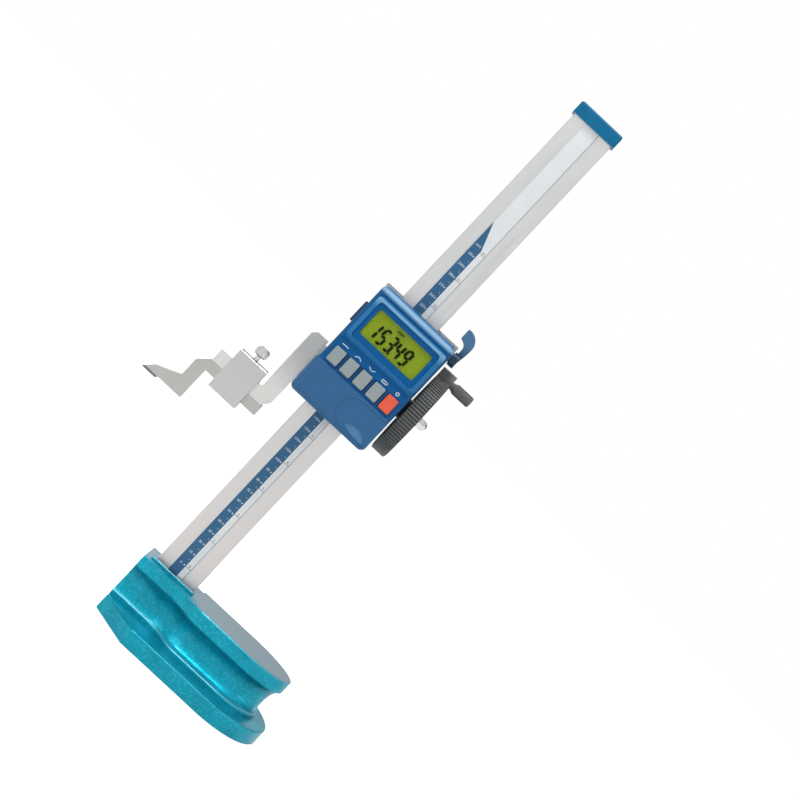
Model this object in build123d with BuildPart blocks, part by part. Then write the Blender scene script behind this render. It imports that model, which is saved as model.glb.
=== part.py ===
"""Digital height gauge, 0 to 300 mm, on a cast base with a rack and pinion drive.

Millimetres. X runs to the right of the display, Y away from the person who reads it, and Z up.
The origin is on the lapped underside of the base, under the middle of the column's width.
"""

import os
from collections import namedtuple
from math import acos, cos, pi, radians, sin, sqrt, tan

from build123d import *

# Clearances
SLIDE_FIT = 0.05  # between the column and what runs on it
SHAFT_FIT = 0.04  # radial, a shaft in its bush
SCREW_FIT = 0.10  # radial, a screw in its hole
SEAT_FIT = 0.05  # around a piece that is let into another
PANEL_GAP = 0.15  # around the battery door
BUTTON_GAP = 0.30  # around each button
PRESS_FIT = 0.02  # radial, a pin or seat that is pressed in

# Column and what is let into it
COLUMN_WIDTH = 35.0
COLUMN_DEPTH = 14.0
COLUMN_FRONT = 1.4
COLUMN_FOOT = 6.0
COLUMN_TOP = 488.5
COLUMN_CHAMFER = 0.5
SCALE_LEFT = -6.8
SCALE_RIGHT = 6.05
SCALE_THICKNESS = 1.2
SCALE_FOOT = 40.0
CAP_WIDTH = 39.1
CAP_COVER = 6.5  # down the column
CAP_ROOF = 4.0  # above the column
CAP_OVERHANG = 2.0

# Rack and pinion
GEAR_MODULE = 0.8
PRESSURE_ANGLE = 20.0
PINION_TEETH = 18
PINION_WIDTH = 9.0
RACK_FOOT = 73.0
RACK_BELOW_TOP = 62.0
RACK_ADDENDUM = 0.75  # in modules, stubbed so that no tip digs in
DEDENDUM = 1.25  # in modules
BACKLASH = 0.12
RACK_WIDTH = 12.0
RACK_SEAT_DEPTH = 4.0
RACK_PROUD = 1.0
RACK_END = 7.0  # plain length with a screw at each end
RACK_SCREW_R = 1.5
RACK_SCREW_LENGTH = 8.0
RACK_HEAD_R = 2.9
RACK_HEAD_HEIGHT = 1.5
PINION_PIN_R = 0.8
CHAMBER_GAP = 0.6  # round the pinion
CHANNEL_GAP = 0.8  # round the rack

# Base casting
BASE_LEFT = -25.0
FLANGE_THICKNESS = 12.35
FLANGE_HALF_DEPTH = 49.0
FLANGE_RIGHT = 122.0
FLANGE_NOSE_FRONT = -22.6
FLANGE_NOSE_BACK = 34.0
FLANGE_SHOULDER = 4.3
LIP_HEIGHT = 16.5
LIP_ROUND = 1.6
WAIST_SINK = 0.4  # of the waist's foot into the lip
COVE_DEEPEST = 25.0
BAND_BOTTOM = 38.5
BLOCK_TOP = 47.8
TABLE_TOP = 49.0
TABLE_STEP = 24.0
RELIEF_DEPTH = 1.5
RELIEF_LENGTH = 74.0
RELIEF_WIDTH = 60.0
RELIEF_RADIUS = 12.0
RELIEF_X = 67.0
CLAMP_PLATE_LEFT = -20.7
CLAMP_PLATE_RIGHT = 19.0
CLAMP_PLATE_DEPTH = 8.4
CLAMP_PLATE_FOOT = 30.0
CLAMP_PLATE_TOP = 49.9
FOOT_SCREW_X = 10.0
FOOT_SCREW_Z = 41.5
FOOT_SCREW_R = 2.5
FOOT_HEAD_R = 4.25
FOOT_HEAD_LENGTH = 5.0
FOOT_SCREW_REACH = 7.0  # into the clamp plate

# Slider
SLIDER_LEFT = -31.5
SLIDER_RIGHT = 36.5
SLIDER_BOTTOM = 205.0
SLIDER_TOP = 304.0
SLIDER_FRONT = -4.5
BRIDGE_THICKNESS = 7.0
LIP_REACH = 5.0
LIP_TOP = 301.5
GIB_THICKNESS = 2.0
CRANK_Z = 245.0
BOSS_RADIUS = 12.0
SHAFT_RADIUS = 3.7
BUSH_RADIUS = 5.5
BUSH_INNER_END = 5.6
COUNTERBORE_DEPTH = 3.0
GIB_SCREW_HEIGHTS = (226.0, 272.0)
GIB_SCREW_R = 2.0
GIB_SCREW_RECESS = 1.45
READ_HEAD_BOTTOM = 248.0
READ_HEAD_TOP = 298.0
READ_GAP = 0.6  # between the reading head and the scale
END_SCREW_R = 1.25
END_SCREW_LENGTH = 7.0
END_WASHER_R = 4.6
END_WASHER_THICKNESS = 1.0
END_HEAD_R = 2.3
END_HEAD_LENGTH = 1.6

# Display housing
HOUSING_LEFT = -31.6
HOUSING_RIGHT = 36.4
HOUSING_BOTTOM = 204.4
HOUSING_TOP = 302.7
HOUSING_FRONT = -23.0
HOUSING_WALL = 2.0
BROW_FOOT = 296.0
FRONT_WALL_INSIDE = -19.8
SLAB_LEFT = -32.9
SLAB_TOP = 234.0
SHOULDER_ROUND = 1.4
CORNER_RADIUS = 4.3
BROW_RADIUS = 5.5
BEZEL_LEFT = -28.6
BEZEL_RIGHT = 34.6
BEZEL_BOTTOM = 256.2
BEZEL_TOP = 294.8
BEZEL_RIM = 3.2
BEZEL_DEPTH = 1.5
BEZEL_CORNER = 3.5
BEZEL_FOOT = 257.2
BEZEL_FLARE = 2.4
BEZEL_ROUND = 0.6
RIM_TAPER = 30.0  # degrees
SIDE_STEP = 0.8
LCD_LEFT = -22.1
LCD_RIGHT = 27.7
LCD_BOTTOM = 264.8
LCD_TOP = 287.2
PANEL_LEFT = -29.2
PANEL_RIGHT = 33.5
PANEL_BOTTOM = 233.9
PANEL_DEPTH = 1.2
PANEL_CORNER = 2.5
BUTTON_WIDTH = 9.2
BUTTON_HEIGHT = 12.3
BUTTON_PITCH = 12.33
BUTTON_MIDDLE_X = 2.35
BUTTON_RISE = 8.35  # of the buttons' middle above the panel's lower edge
BUTTON_COUNT = 5
BUTTON_PROUD = 0.8
BUTTON_CHAMFER = 0.5
BUTTON_TRAVEL = 0.8
BACKPLATE_THICKNESS = 2.5
HOUSING_SCREW_X = (-27.2, 32.0)
HOUSING_SCREW_Z = (212.0, 288.0)
HOUSING_SCREW_R = 1.25
HOUSING_HEAD_R = 2.4
HOUSING_HEAD_LENGTH = 2.6
HOUSING_SCREW_REACH = 12.0  # into the housing's posts
BOARD_FRONT = -14.8
BOARD_THICKNESS = 1.6
BOARD_LEFT = -24.3
BOARD_RIGHT = 29.0
BOARD_BOTTOM = 231.0
BOARD_TOP = 291.0
POST_XS = (-20.0, 25.0)
POST_HEIGHTS = (232.5, 252.0)
POST_RADIUS = 1.8
SWITCH_RADIUS = 2.6
CELL_RADIUS = 10.0
CELL_THICKNESS = 3.2
DOOR_RADIUS = 11.5
DOOR_CENTER_X = 13.4
DOOR_CENTER_Z = 219.6
DOOR_THICKNESS = 1.7
THUMB_LEFT = 13.0
THUMB_RIGHT = 33.2
THUMB_BOTTOM = 208.9
THUMB_TOP = 215.4
THUMB_DEPTH = 0.6
PORT_BOTTOM = 269.0
PORT_TOP = 280.0
PORT_FRONT = -13.6
PORT_BACK = -8.4
PORT_COVER_BOTTOM = 266.8
PORT_COVER_TOP = 284.2
PORT_COVER_THICKNESS = 2.0
CONNECTOR_LEFT = -29.0
CONNECTOR_RIGHT = -19.0

# Crank wheel, its grip and the lock lever
WHEEL_LEFT = 38.6
WHEEL_RIGHT = 51.1
WHEEL_RADIUS = 36.0
RIB_COUNT = 90
RIB_HEIGHT = 0.8
RIB_SHARE = 0.72  # of the pitch, at the rib's foot
RIB_SLOPE = 65.0  # degrees
RIB_SINK = 0.2  # of the ribs into the rim
RIM_CHAMFER = 0.7
WEB_THICKNESS = 5.0
WEB_OFFSET = 0.8  # towards the column
RIM_THICKNESS = 5.0
HUB_RADIUS = 9.0
HUB_LEFT = 36.9
CRANK_RADIUS = 35.4
LUG_RADIUS = 6.9
WHEEL_SEAT_RADIUS = 3.0
THREAD_RADIUS = 2.45
WASHER_RADIUS = 4.6
WASHER_THICKNESS = 1.2
NUT_ACROSS_FLATS = 7.8
NUT_LENGTH = 7.2
PIN_RADIUS = 2.0
PIN_HEAD_RADIUS = 3.0
GRIP_LEFT = 51.4
GRIP_RIGHT = 70.3
GRIP_RADIUS = 4.3
GRIP_NECK_RADIUS = 2.9
GRIP_RIBS = 18
LOCK_Z = 295.4
LOCK_HUB_RADIUS = 5.65
LOCK_HUB_LEFT = 37.5
LOCK_HUB_RIGHT = 42.7
LOCK_SCREW_R = 2.5
LEVER_WIDTH = 8.0
LEVER_INNER = 39.0
LEVER_HOOK_LEFT = 32.9
LEVER_HOOK_RIGHT = 44.3
LEVER_HOOK_BOTTOM = 308.9
LEVER_TOP = 319.2

# Jaw, scriber and their clamp
JAW_CENTER_Y = -1.0
JAW_THICKNESS = 9.0
JAW_RIGHT = -33.9
JAW_ARM_WIDTH = 12.9
JAW_LEFT = -85.0
JAW_BOTTOM = 179.3
JAW_HEIGHT = 10.4
JAW_TOP = 244.5
JAW_SCREW_HEIGHTS = (220.0, 236.0)
JAW_SCREW_R = 2.0
JAW_HEAD_R = 3.5
JAW_HEAD_LENGTH = 4.0
JAW_SCREW_REACH = 8.0  # into the slider
JAW_SCREW_SHIFT = 0.5  # from the jaw's middle
JAW_PAD_BOTTOM = 212.0
JAW_PAD_TOP = 241.0
JAW_CUT = 3.2
SCRIBER_HEIGHT = 8.7
SCRIBER_RIGHT = -36.7
SCRIBER_LEG_LEFT = -93.6
SCRIBER_LEG_RIGHT = -83.7
SCRIBER_SOLE = 144.3
SCRIBER_TIP_X = -118.4
SCRIBER_KNEE = 157.0
SCRIBER_SHOULDER = 172.0
SCRIBER_SHOULDER_RUN = 8.2
SCRIBER_NECK_X = -112.2
SCRIBER_NECK_Z = 149.1
TIP_LEAN = 2.1
CARBIDE_BOTTOM = 142.5
CARBIDE_RIGHT = -104.6
CARBIDE_HEIGHT = 1.9
CLAMP_LEFT = -74.9
CLAMP_RIGHT = -50.2
CLAMP_BOTTOM = 164.7
CLAMP_TOP = 199.2
CLAMP_DEPTH = 15.0
CLAMP_HEADROOM = 1.2
KNOB_RADIUS = 5.2
KNOB_BOTTOM = 203.5
KNOB_TOP = 210.4
KNOB_SHANK_R = 1.9
KNOB_FLUTES = 20

# Sizes that follow from the ones above
column_half = COLUMN_WIDTH / 2
column_back = COLUMN_FRONT + COLUMN_DEPTH
column_middle = COLUMN_FRONT + COLUMN_DEPTH / 2
cap_bottom = COLUMN_TOP - CAP_COVER
rack_pitch = pi * GEAR_MODULE
pinion_radius = GEAR_MODULE * PINION_TEETH / 2
pinion_tip = pinion_radius + GEAR_MODULE
pinion_root = pinion_radius - DEDENDUM * GEAR_MODULE
rack_tip_y = column_back + RACK_PROUD
rack_pitch_y = rack_tip_y - RACK_ADDENDUM * GEAR_MODULE
shaft_y = rack_pitch_y + pinion_radius
teeth_below = int((CRANK_Z - RACK_FOOT) / rack_pitch)
teeth_above = int((COLUMN_TOP - RACK_BELOW_TOP - CRANK_Z) / rack_pitch)
rack_bottom = CRANK_Z - teeth_below * rack_pitch
rack_top = CRANK_Z + teeth_above * rack_pitch
slider_back = column_back + SLIDE_FIT + BRIDGE_THICKNESS
gib_left = column_half + SLIDE_FIT
gib_right = gib_left + GIB_THICKNESS
gib_screw_end = SLIDER_RIGHT - GIB_SCREW_RECESS
cheek_right_inner = gib_right + SLIDE_FIT
jaw_front = JAW_CENTER_Y - JAW_THICKNESS / 2
jaw_back = JAW_CENTER_Y + JAW_THICKNESS / 2
jaw_screw_y = JAW_CENTER_Y + JAW_SCREW_SHIFT
scriber_top = JAW_BOTTOM - SLIDE_FIT
scriber_bottom = scriber_top - SCRIBER_HEIGHT


def block(low, high, mode=Mode.ADD):
    """A box between two opposite corners, in the part that is being built."""
    center = [(a + b) / 2 for a, b in zip(low, high)]
    with Locations(tuple(center)):
        Box(*(b - a for a, b in zip(low, high)), mode=mode)


def rod(start, direction, length, radius, mode=Mode.ADD, tip_radius=None):
    """A round bar, or a cone, from a start point along a direction."""
    with Locations(Plane(origin=start, z_dir=direction)):
        seat = (Align.CENTER, Align.CENTER, Align.MIN)
        if tip_radius is None:
            Cylinder(radius, length, align=seat, mode=mode)
        else:
            Cone(radius, tip_radius, length, align=seat, mode=mode)


def upright(y):
    """The plane at y that faces the reader: X to the right and Z up, normal to the front."""
    return Plane.XZ.offset(-y)


def socket_screw(start, direction, shank, length, head, head_length):
    """A socket head screw: its head's underside at start, its shank along direction."""
    back = tuple(-value for value in direction)
    rod(start, direction, length, shank)
    rod(start, back, head_length, head)
    top = tuple(s + b * head_length for s, b in zip(start, back))
    with BuildSketch(Plane(origin=top, z_dir=direction)) as socket:
        RegularPolygon(shank * 0.95, 6)
    extrude(socket.sketch, amount=head_length * 0.55, mode=Mode.SUBTRACT)


# Base casting: a flange, a coved waist that flares round the table's corner, and a table
Outline = namedtuple("Outline", "narrow wide back flare_start flare_end end_start end_x")
lip = Outline(16.0, 31.5, 31.5, 7.0, 39.0, 74.0, 109.5)
cove = Outline(11.5, 22.3, 22.3, 8.0, 38.5, 75.0, 106.8)
rim = Outline(15.7, 27.3, 27.3, 7.0, 38.0, 75.4, 112.4)


def between(first, second, share):
    """The outline that lies a share of the way from the first to the second."""
    return Outline(*(a + (b - a) * share for a, b in zip(first, second)))


def base_outline(shape):
    """Plan of the casting: a straight back, a narrow front that flares out, a round end."""
    middle = ((shape.flare_start + shape.flare_end) / 2, -(shape.narrow + shape.wide) / 2)
    half = (shape.back + shape.wide) / 2
    with BuildLine() as plan:
        Line((BASE_LEFT, shape.back), (BASE_LEFT, -shape.narrow))
        Line((BASE_LEFT, -shape.narrow), (shape.flare_start, -shape.narrow))
        first = TangentArc((shape.flare_start, -shape.narrow), middle, tangent=(1, 0))
        TangentArc(middle, (shape.flare_end, -shape.wide), tangent=first % 1)
        Line((shape.flare_end, -shape.wide), (shape.end_start, -shape.wide))
        EllipticalCenterArc(
            (shape.end_start, shape.back - half),
            shape.end_x - shape.end_start,
            half,
            start_angle=-90,
            arc_size=180,
        )
        Line((shape.end_start, shape.back), (BASE_LEFT, shape.back))
    make_face(plan.edges())


def inset(shape, amount):
    """The outline drawn in by an amount, with its flare where it was."""
    return shape._replace(
        narrow=shape.narrow - amount,
        wide=shape.wide - amount,
        back=shape.back - amount,
        end_x=shape.end_x - amount,
    )


with BuildPart() as flange:
    with BuildSketch():
        with BuildLine():
            Polyline(
                (FLANGE_RIGHT - FLANGE_HALF_DEPTH, FLANGE_HALF_DEPTH),
                (FLANGE_SHOULDER, FLANGE_HALF_DEPTH),
                (BASE_LEFT, FLANGE_NOSE_BACK),
                (BASE_LEFT, FLANGE_NOSE_FRONT),
                (FLANGE_SHOULDER, -FLANGE_HALF_DEPTH),
                (FLANGE_RIGHT - FLANGE_HALF_DEPTH, -FLANGE_HALF_DEPTH),
            )
            CenterArc((FLANGE_RIGHT - FLANGE_HALF_DEPTH, 0), FLANGE_HALF_DEPTH, -90, 180)
        make_face()
    extrude(amount=FLANGE_THICKNESS)
    fillet(flange.edges().group_by(Axis.Z)[-1], 1.2)
    chamfer(flange.edges().group_by(Axis.Z)[0], 0.6)

with BuildPart() as table:
    with BuildSketch(Plane.XY.offset(BAND_BOTTOM)):
        base_outline(rim)
    extrude(amount=TABLE_TOP - BAND_BOTTOM)
    fillet(table.edges().group_by(Axis.Z)[0], 1.0)
    chamfer(table.edges().group_by(Axis.Z)[-1], 0.4)

# The cove's section is a quarter of an ellipse down to the lip and another up to the rim
lip_top = inset(lip, LIP_ROUND + 0.3)
below = COVE_DEEPEST - LIP_HEIGHT + WAIST_SINK
above = BAND_BOTTOM - COVE_DEEPEST
rim_share = 0.97
rim_foot = between(cove, rim, 1 - sqrt(1 - rim_share * rim_share))
with BuildPart() as waist:
    for share in (1.0, 0.94, 0.6):
        with BuildSketch(Plane.XY.offset(COVE_DEEPEST - below * share)):
            base_outline(between(cove, lip_top, 1 - sqrt(1 - share * share)))
    for share in (0.0, 0.5, 0.82):
        with BuildSketch(Plane.XY.offset(COVE_DEEPEST + above * share)):
            base_outline(between(cove, rim, 1 - sqrt(1 - share * share)))
    with BuildSketch(Plane.XY.offset(COVE_DEEPEST + above * rim_share)):
        base_outline(rim_foot)
    loft()

with BuildPart() as lip_plate:
    with BuildSketch(Plane.XY.offset(FLANGE_THICKNESS - 0.5)):
        base_outline(lip)
    extrude(amount=LIP_HEIGHT - FLANGE_THICKNESS + 0.5)
    lip_edges = lip_plate.edges().group_by(Axis.Z)[-1]
    fillet([edge for edge in lip_edges if edge.center().X > BASE_LEFT + 0.1], LIP_ROUND)

with BuildPart() as base_casting:
    add(flange.part)
    add(lip_plate.part)
    add(waist.part)
    with BuildSketch(Plane.XY.offset(COVE_DEEPEST + above * rim_share)):
        base_outline(rim_foot)
    extrude(amount=above * (1 - rim_share) + 2.0)
    add(table.part)
    # The block that carries the column is lower than the table
    block((BASE_LEFT - 1, -60, BLOCK_TOP), (TABLE_STEP, 60, TABLE_TOP + 1), Mode.SUBTRACT)
    # Socket for the column, and the pocket for the plate that clamps it
    block(
        (-column_half - SEAT_FIT, COLUMN_FRONT - SEAT_FIT, COLUMN_FOOT),
        (column_half + SEAT_FIT, column_back, TABLE_TOP + 1),
        Mode.SUBTRACT,
    )
    block(
        (CLAMP_PLATE_LEFT - SEAT_FIT, COLUMN_FRONT - CLAMP_PLATE_DEPTH - SEAT_FIT, CLAMP_PLATE_FOOT),
        (CLAMP_PLATE_RIGHT + SEAT_FIT, COLUMN_FRONT, TABLE_TOP + 1),
        Mode.SUBTRACT,
    )
    # Screws from the back pull the plate against the column
    for x in (-FOOT_SCREW_X, FOOT_SCREW_X):
        rod((x, rim.back + 1, FOOT_SCREW_Z), (0, -1, 0), 30, FOOT_SCREW_R + SCREW_FIT, Mode.SUBTRACT)
        rod(
            (x, rim.back + 1, FOOT_SCREW_Z),
            (0, -1, 0),
            FOOT_HEAD_LENGTH + 2,
            FOOT_HEAD_R + SCREW_FIT,
            Mode.SUBTRACT,
        )
    # Relief inside the lapped rim of the underside
    with BuildSketch():
        with Locations((RELIEF_X, 0)):
            RectangleRounded(RELIEF_LENGTH, RELIEF_WIDTH, RELIEF_RADIUS)
    extrude(amount=RELIEF_DEPTH, mode=Mode.SUBTRACT)
base_casting.part.label = "base_casting"

with BuildPart() as column_clamp_plate:
    block(
        (CLAMP_PLATE_LEFT, COLUMN_FRONT - CLAMP_PLATE_DEPTH, CLAMP_PLATE_FOOT),
        (CLAMP_PLATE_RIGHT, COLUMN_FRONT, CLAMP_PLATE_TOP),
    )
    chamfer(column_clamp_plate.edges().group_by(Axis.Z)[-1], 0.6)
    for x in (-FOOT_SCREW_X, FOOT_SCREW_X):
        rod(
            (x, COLUMN_FRONT, FOOT_SCREW_Z),
            (0, -1, 0),
            FOOT_SCREW_REACH + 0.5,
            FOOT_SCREW_R + SCREW_FIT,
            Mode.SUBTRACT,
        )
column_clamp_plate.part.label = "column_clamp_plate"

foot_head_seat = rim.back - FOOT_HEAD_LENGTH - 1
with BuildPart() as column_screws:
    for x in (-FOOT_SCREW_X, FOOT_SCREW_X):
        socket_screw(
            (x, foot_head_seat, FOOT_SCREW_Z),
            (0, -1, 0),
            FOOT_SCREW_R,
            foot_head_seat - COLUMN_FRONT + FOOT_SCREW_REACH,
            FOOT_HEAD_R,
            FOOT_HEAD_LENGTH,
        )
column_screws.part.label = "column_screws"

# Column with a groove for the scale in front and for the rack behind
with BuildPart() as column:
    block((-column_half, COLUMN_FRONT, COLUMN_FOOT), (column_half, column_back, COLUMN_TOP))
    chamfer(column.edges().filter_by(Axis.Z), COLUMN_CHAMFER)
    block(
        (SCALE_LEFT - SEAT_FIT, COLUMN_FRONT - 1, SCALE_FOOT - SEAT_FIT),
        (SCALE_RIGHT + SEAT_FIT, COLUMN_FRONT + SCALE_THICKNESS, COLUMN_TOP + 1),
        Mode.SUBTRACT,
    )
    block(
        (-RACK_WIDTH / 2 - SEAT_FIT, column_back - RACK_SEAT_DEPTH, rack_bottom - RACK_END - SEAT_FIT),
        (RACK_WIDTH / 2 + SEAT_FIT, column_back + 1, rack_top + RACK_END + SEAT_FIT),
        Mode.SUBTRACT,
    )
    for z in (rack_bottom - RACK_END / 2, rack_top + RACK_END / 2):
        rod((0, column_back, z), (0, -1, 0), RACK_SCREW_LENGTH + 2, RACK_SCREW_R + SCREW_FIT, Mode.SUBTRACT)
    for x in (-FOOT_SCREW_X, FOOT_SCREW_X):
        rod((x, column_back + 1, FOOT_SCREW_Z), (0, -1, 0), 30, FOOT_SCREW_R + SCREW_FIT, Mode.SUBTRACT)
column.part.label = "column"

with BuildPart() as scale_strip:
    block(
        (SCALE_LEFT, COLUMN_FRONT, SCALE_FOOT),
        (SCALE_RIGHT, COLUMN_FRONT + SCALE_THICKNESS, cap_bottom - SEAT_FIT),
    )
scale_strip.part.label = "scale_strip"

# Rack with straight-sided teeth, and a plain end with a countersunk screw at each end
tooth_slope = tan(radians(PRESSURE_ANGLE))
rack_root_y = rack_pitch_y - DEDENDUM * GEAR_MODULE
tip_half = (rack_pitch / 2 - BACKLASH) / 2 - RACK_ADDENDUM * GEAR_MODULE * tooth_slope
root_half = (rack_pitch / 2 - BACKLASH) / 2 + DEDENDUM * GEAR_MODULE * tooth_slope
with BuildPart() as rack:
    block(
        (-RACK_WIDTH / 2, column_back - RACK_SEAT_DEPTH, rack_bottom - RACK_END),
        (RACK_WIDTH / 2, rack_root_y, rack_top + RACK_END),
    )
    with BuildSketch(Plane.YZ.offset(-RACK_WIDTH / 2)):
        with BuildLine():
            outline = [(rack_root_y - 0.2, rack_bottom)]
            for tooth in range(teeth_below + teeth_above):
                z = rack_bottom + (tooth + 0.5) * rack_pitch
                outline += [
                    (rack_root_y, z - root_half),
                    (rack_tip_y, z - tip_half),
                    (rack_tip_y, z + tip_half),
                    (rack_root_y, z + root_half),
                ]
            outline.append((rack_root_y - 0.2, rack_top))
            Polyline(*outline, close=True)
        make_face()
    extrude(amount=RACK_WIDTH)
    for z in (rack_bottom - RACK_END / 2, rack_top + RACK_END / 2):
        rod(
            (0, rack_root_y + 1, z),
            (0, -1, 0),
            RACK_SCREW_LENGTH + 1,
            RACK_SCREW_R + SCREW_FIT,
            Mode.SUBTRACT,
        )
        rod(
            (0, rack_root_y + 0.01, z),
            (0, -1, 0),
            RACK_HEAD_HEIGHT + 0.1,
            RACK_HEAD_R + 2 * SCREW_FIT,
            Mode.SUBTRACT,
            tip_radius=RACK_SCREW_R,
        )
rack.part.label = "rack"

with BuildPart() as rack_screws:
    for z in (rack_bottom - RACK_END / 2, rack_top + RACK_END / 2):
        rod(
            (0, rack_root_y - SEAT_FIT, z),
            (0, -1, 0),
            RACK_HEAD_HEIGHT,
            RACK_HEAD_R,
            tip_radius=RACK_SCREW_R - SCREW_FIT,
        )
        rod((0, rack_root_y - 0.3, z), (0, -1, 0), RACK_SCREW_LENGTH, RACK_SCREW_R)
rack_screws.part.label = "rack_screws"

with BuildPart() as top_cap:
    block(
        (-CAP_WIDTH / 2, COLUMN_FRONT - CAP_OVERHANG, cap_bottom),
        (CAP_WIDTH / 2, column_back + CAP_OVERHANG, COLUMN_TOP + CAP_ROOF),
    )
    fillet(top_cap.edges().filter_by(Axis.Z), 2.0)
    fillet(top_cap.edges().group_by(Axis.Z)[-1], 1.8)
    block(
        (-column_half - SEAT_FIT, COLUMN_FRONT - SEAT_FIT, cap_bottom - 1),
        (column_half + SEAT_FIT, column_back + SEAT_FIT, COLUMN_TOP),
        Mode.SUBTRACT,
    )
top_cap.part.label = "top_cap"

# Slider: a frame round the column, open in front for the reading head
with BuildPart() as slider_frame:
    with BuildSketch(Plane.XY.offset(SLIDER_BOTTOM)):
        with Locations(((SLIDER_LEFT + SLIDER_RIGHT) / 2, (SLIDER_FRONT + slider_back) / 2)):
            Rectangle(SLIDER_RIGHT - SLIDER_LEFT, slider_back - SLIDER_FRONT)
    extrude(amount=SLIDER_TOP - SLIDER_BOTTOM)
    fillet(slider_frame.edges().filter_by(Axis.Z).group_by(Axis.Y)[-1], 3.0)
    # Boss that carries the drive shaft across the back
    rod((SLIDER_LEFT, shaft_y, CRANK_Z), (1, 0, 0), SLIDER_RIGHT - SLIDER_LEFT, BOSS_RADIUS)
    block(
        (-column_half - SLIDE_FIT, COLUMN_FRONT - SLIDE_FIT, SLIDER_BOTTOM - 1),
        (cheek_right_inner, column_back + SLIDE_FIT, SLIDER_TOP + 1),
        Mode.SUBTRACT,
    )
    opening = column_half - LIP_REACH
    block(
        (-opening, SLIDER_FRONT - 1, SLIDER_BOTTOM - 1),
        (opening, COLUMN_FRONT + 1, SLIDER_TOP + 1),
        Mode.SUBTRACT,
    )
    block(
        (-column_half - SLIDE_FIT, SLIDER_FRONT - 1, LIP_TOP),
        (cheek_right_inner, COLUMN_FRONT + 1, SLIDER_TOP + 1),
        Mode.SUBTRACT,
    )
    # Channel that clears the rack, and the chamber of the pinion
    block(
        (-RACK_WIDTH / 2 - CHANNEL_GAP, column_back - 1, SLIDER_BOTTOM - 1),
        (RACK_WIDTH / 2 + CHANNEL_GAP, rack_tip_y + CHANNEL_GAP, SLIDER_TOP + 1),
        Mode.SUBTRACT,
    )
    rod(
        (-BUSH_INNER_END, shaft_y, CRANK_Z),
        (1, 0, 0),
        2 * BUSH_INNER_END,
        pinion_radius + GEAR_MODULE + CHAMBER_GAP,
        Mode.SUBTRACT,
    )
    rod(
        (SLIDER_LEFT - 1, shaft_y, CRANK_Z),
        (1, 0, 0),
        SLIDER_RIGHT - SLIDER_LEFT + 2,
        BUSH_RADIUS,
        Mode.SUBTRACT,
    )
    rod(
        (SLIDER_LEFT - 1, shaft_y, CRANK_Z),
        (1, 0, 0),
        COUNTERBORE_DEPTH + 1,
        BUSH_RADIUS + 1,
        Mode.SUBTRACT,
    )
    for z in GIB_SCREW_HEIGHTS:
        rod(
            (cheek_right_inner - 1, column_middle, z),
            (1, 0, 0),
            SLIDER_RIGHT - cheek_right_inner + 2,
            GIB_SCREW_R + SCREW_FIT,
            Mode.SUBTRACT,
        )
    rod(
        (cheek_right_inner - 1, column_middle, LOCK_Z),
        (1, 0, 0),
        SLIDER_RIGHT - cheek_right_inner + 2,
        LOCK_SCREW_R + SHAFT_FIT,
        Mode.SUBTRACT,
    )
    for x in HOUSING_SCREW_X:
        for z in HOUSING_SCREW_Z:
            rod((x, slider_back + 1, z), (0, -1, 0), 40, HOUSING_SCREW_R + SCREW_FIT, Mode.SUBTRACT)
            rod(
                (x, slider_back + 1, z),
                (0, -1, 0),
                HOUSING_HEAD_LENGTH + 1.5,
                HOUSING_HEAD_R + SCREW_FIT,
                Mode.SUBTRACT,
            )
    for z in JAW_SCREW_HEIGHTS:
        rod(
            (SLIDER_LEFT - 1, jaw_screw_y, z),
            (1, 0, 0),
            JAW_SCREW_REACH + 2,
            JAW_SCREW_R + SCREW_FIT,
            Mode.SUBTRACT,
        )
slider_frame.part.label = "slider_frame"

with BuildPart() as gib_strip:
    block(
        (gib_left, COLUMN_FRONT + 1, SLIDER_BOTTOM + 2),
        (gib_right, column_back - 1, LIP_TOP),
    )
gib_strip.part.label = "gib_strip"

with BuildPart() as gib_screws:
    for z in GIB_SCREW_HEIGHTS:
        rod((gib_right, column_middle, z), (1, 0, 0), gib_screw_end - gib_right, GIB_SCREW_R)
        with BuildSketch(Plane.YZ.offset(gib_screw_end)):
            with Locations((column_middle, z)):
                RegularPolygon(1.2, 6)
        extrude(amount=-2.5, mode=Mode.SUBTRACT)
gib_screws.part.label = "gib_screws"

# Drive shaft on two bushes, with its pinion between them
left_bush_start = SLIDER_LEFT + COUNTERBORE_DEPTH
pin_hole_foot = (0, shaft_y, CRANK_Z - pinion_tip - 1)
with BuildPart() as shaft_bushes:
    for start, end in ((left_bush_start, -BUSH_INNER_END), (BUSH_INNER_END, SLIDER_RIGHT)):
        rod((start, shaft_y, CRANK_Z), (1, 0, 0), end - start, BUSH_RADIUS)
        rod((start, shaft_y, CRANK_Z), (1, 0, 0), end - start, SHAFT_RADIUS + SHAFT_FIT, Mode.SUBTRACT)
shaft_bushes.part.label = "shaft_bushes"

with BuildPart() as pinion_shaft:
    rod((left_bush_start, shaft_y, CRANK_Z), (1, 0, 0), WHEEL_LEFT - left_bush_start, SHAFT_RADIUS)
    rod((WHEEL_LEFT, shaft_y, CRANK_Z), (1, 0, 0), WHEEL_RIGHT - WHEEL_LEFT, WHEEL_SEAT_RADIUS)
    rod((WHEEL_RIGHT, shaft_y, CRANK_Z), (1, 0, 0), WASHER_THICKNESS + 3.0, THREAD_RADIUS)
    rod(
        (left_bush_start, shaft_y, CRANK_Z),
        (1, 0, 0),
        END_SCREW_LENGTH + 1,
        END_SCREW_R + SCREW_FIT,
        Mode.SUBTRACT,
    )
    rod(pin_hole_foot, (0, 0, 1), 2 * pinion_tip + 2, PINION_PIN_R + PRESS_FIT, Mode.SUBTRACT)
pinion_shaft.part.label = "pinion_shaft"

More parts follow.
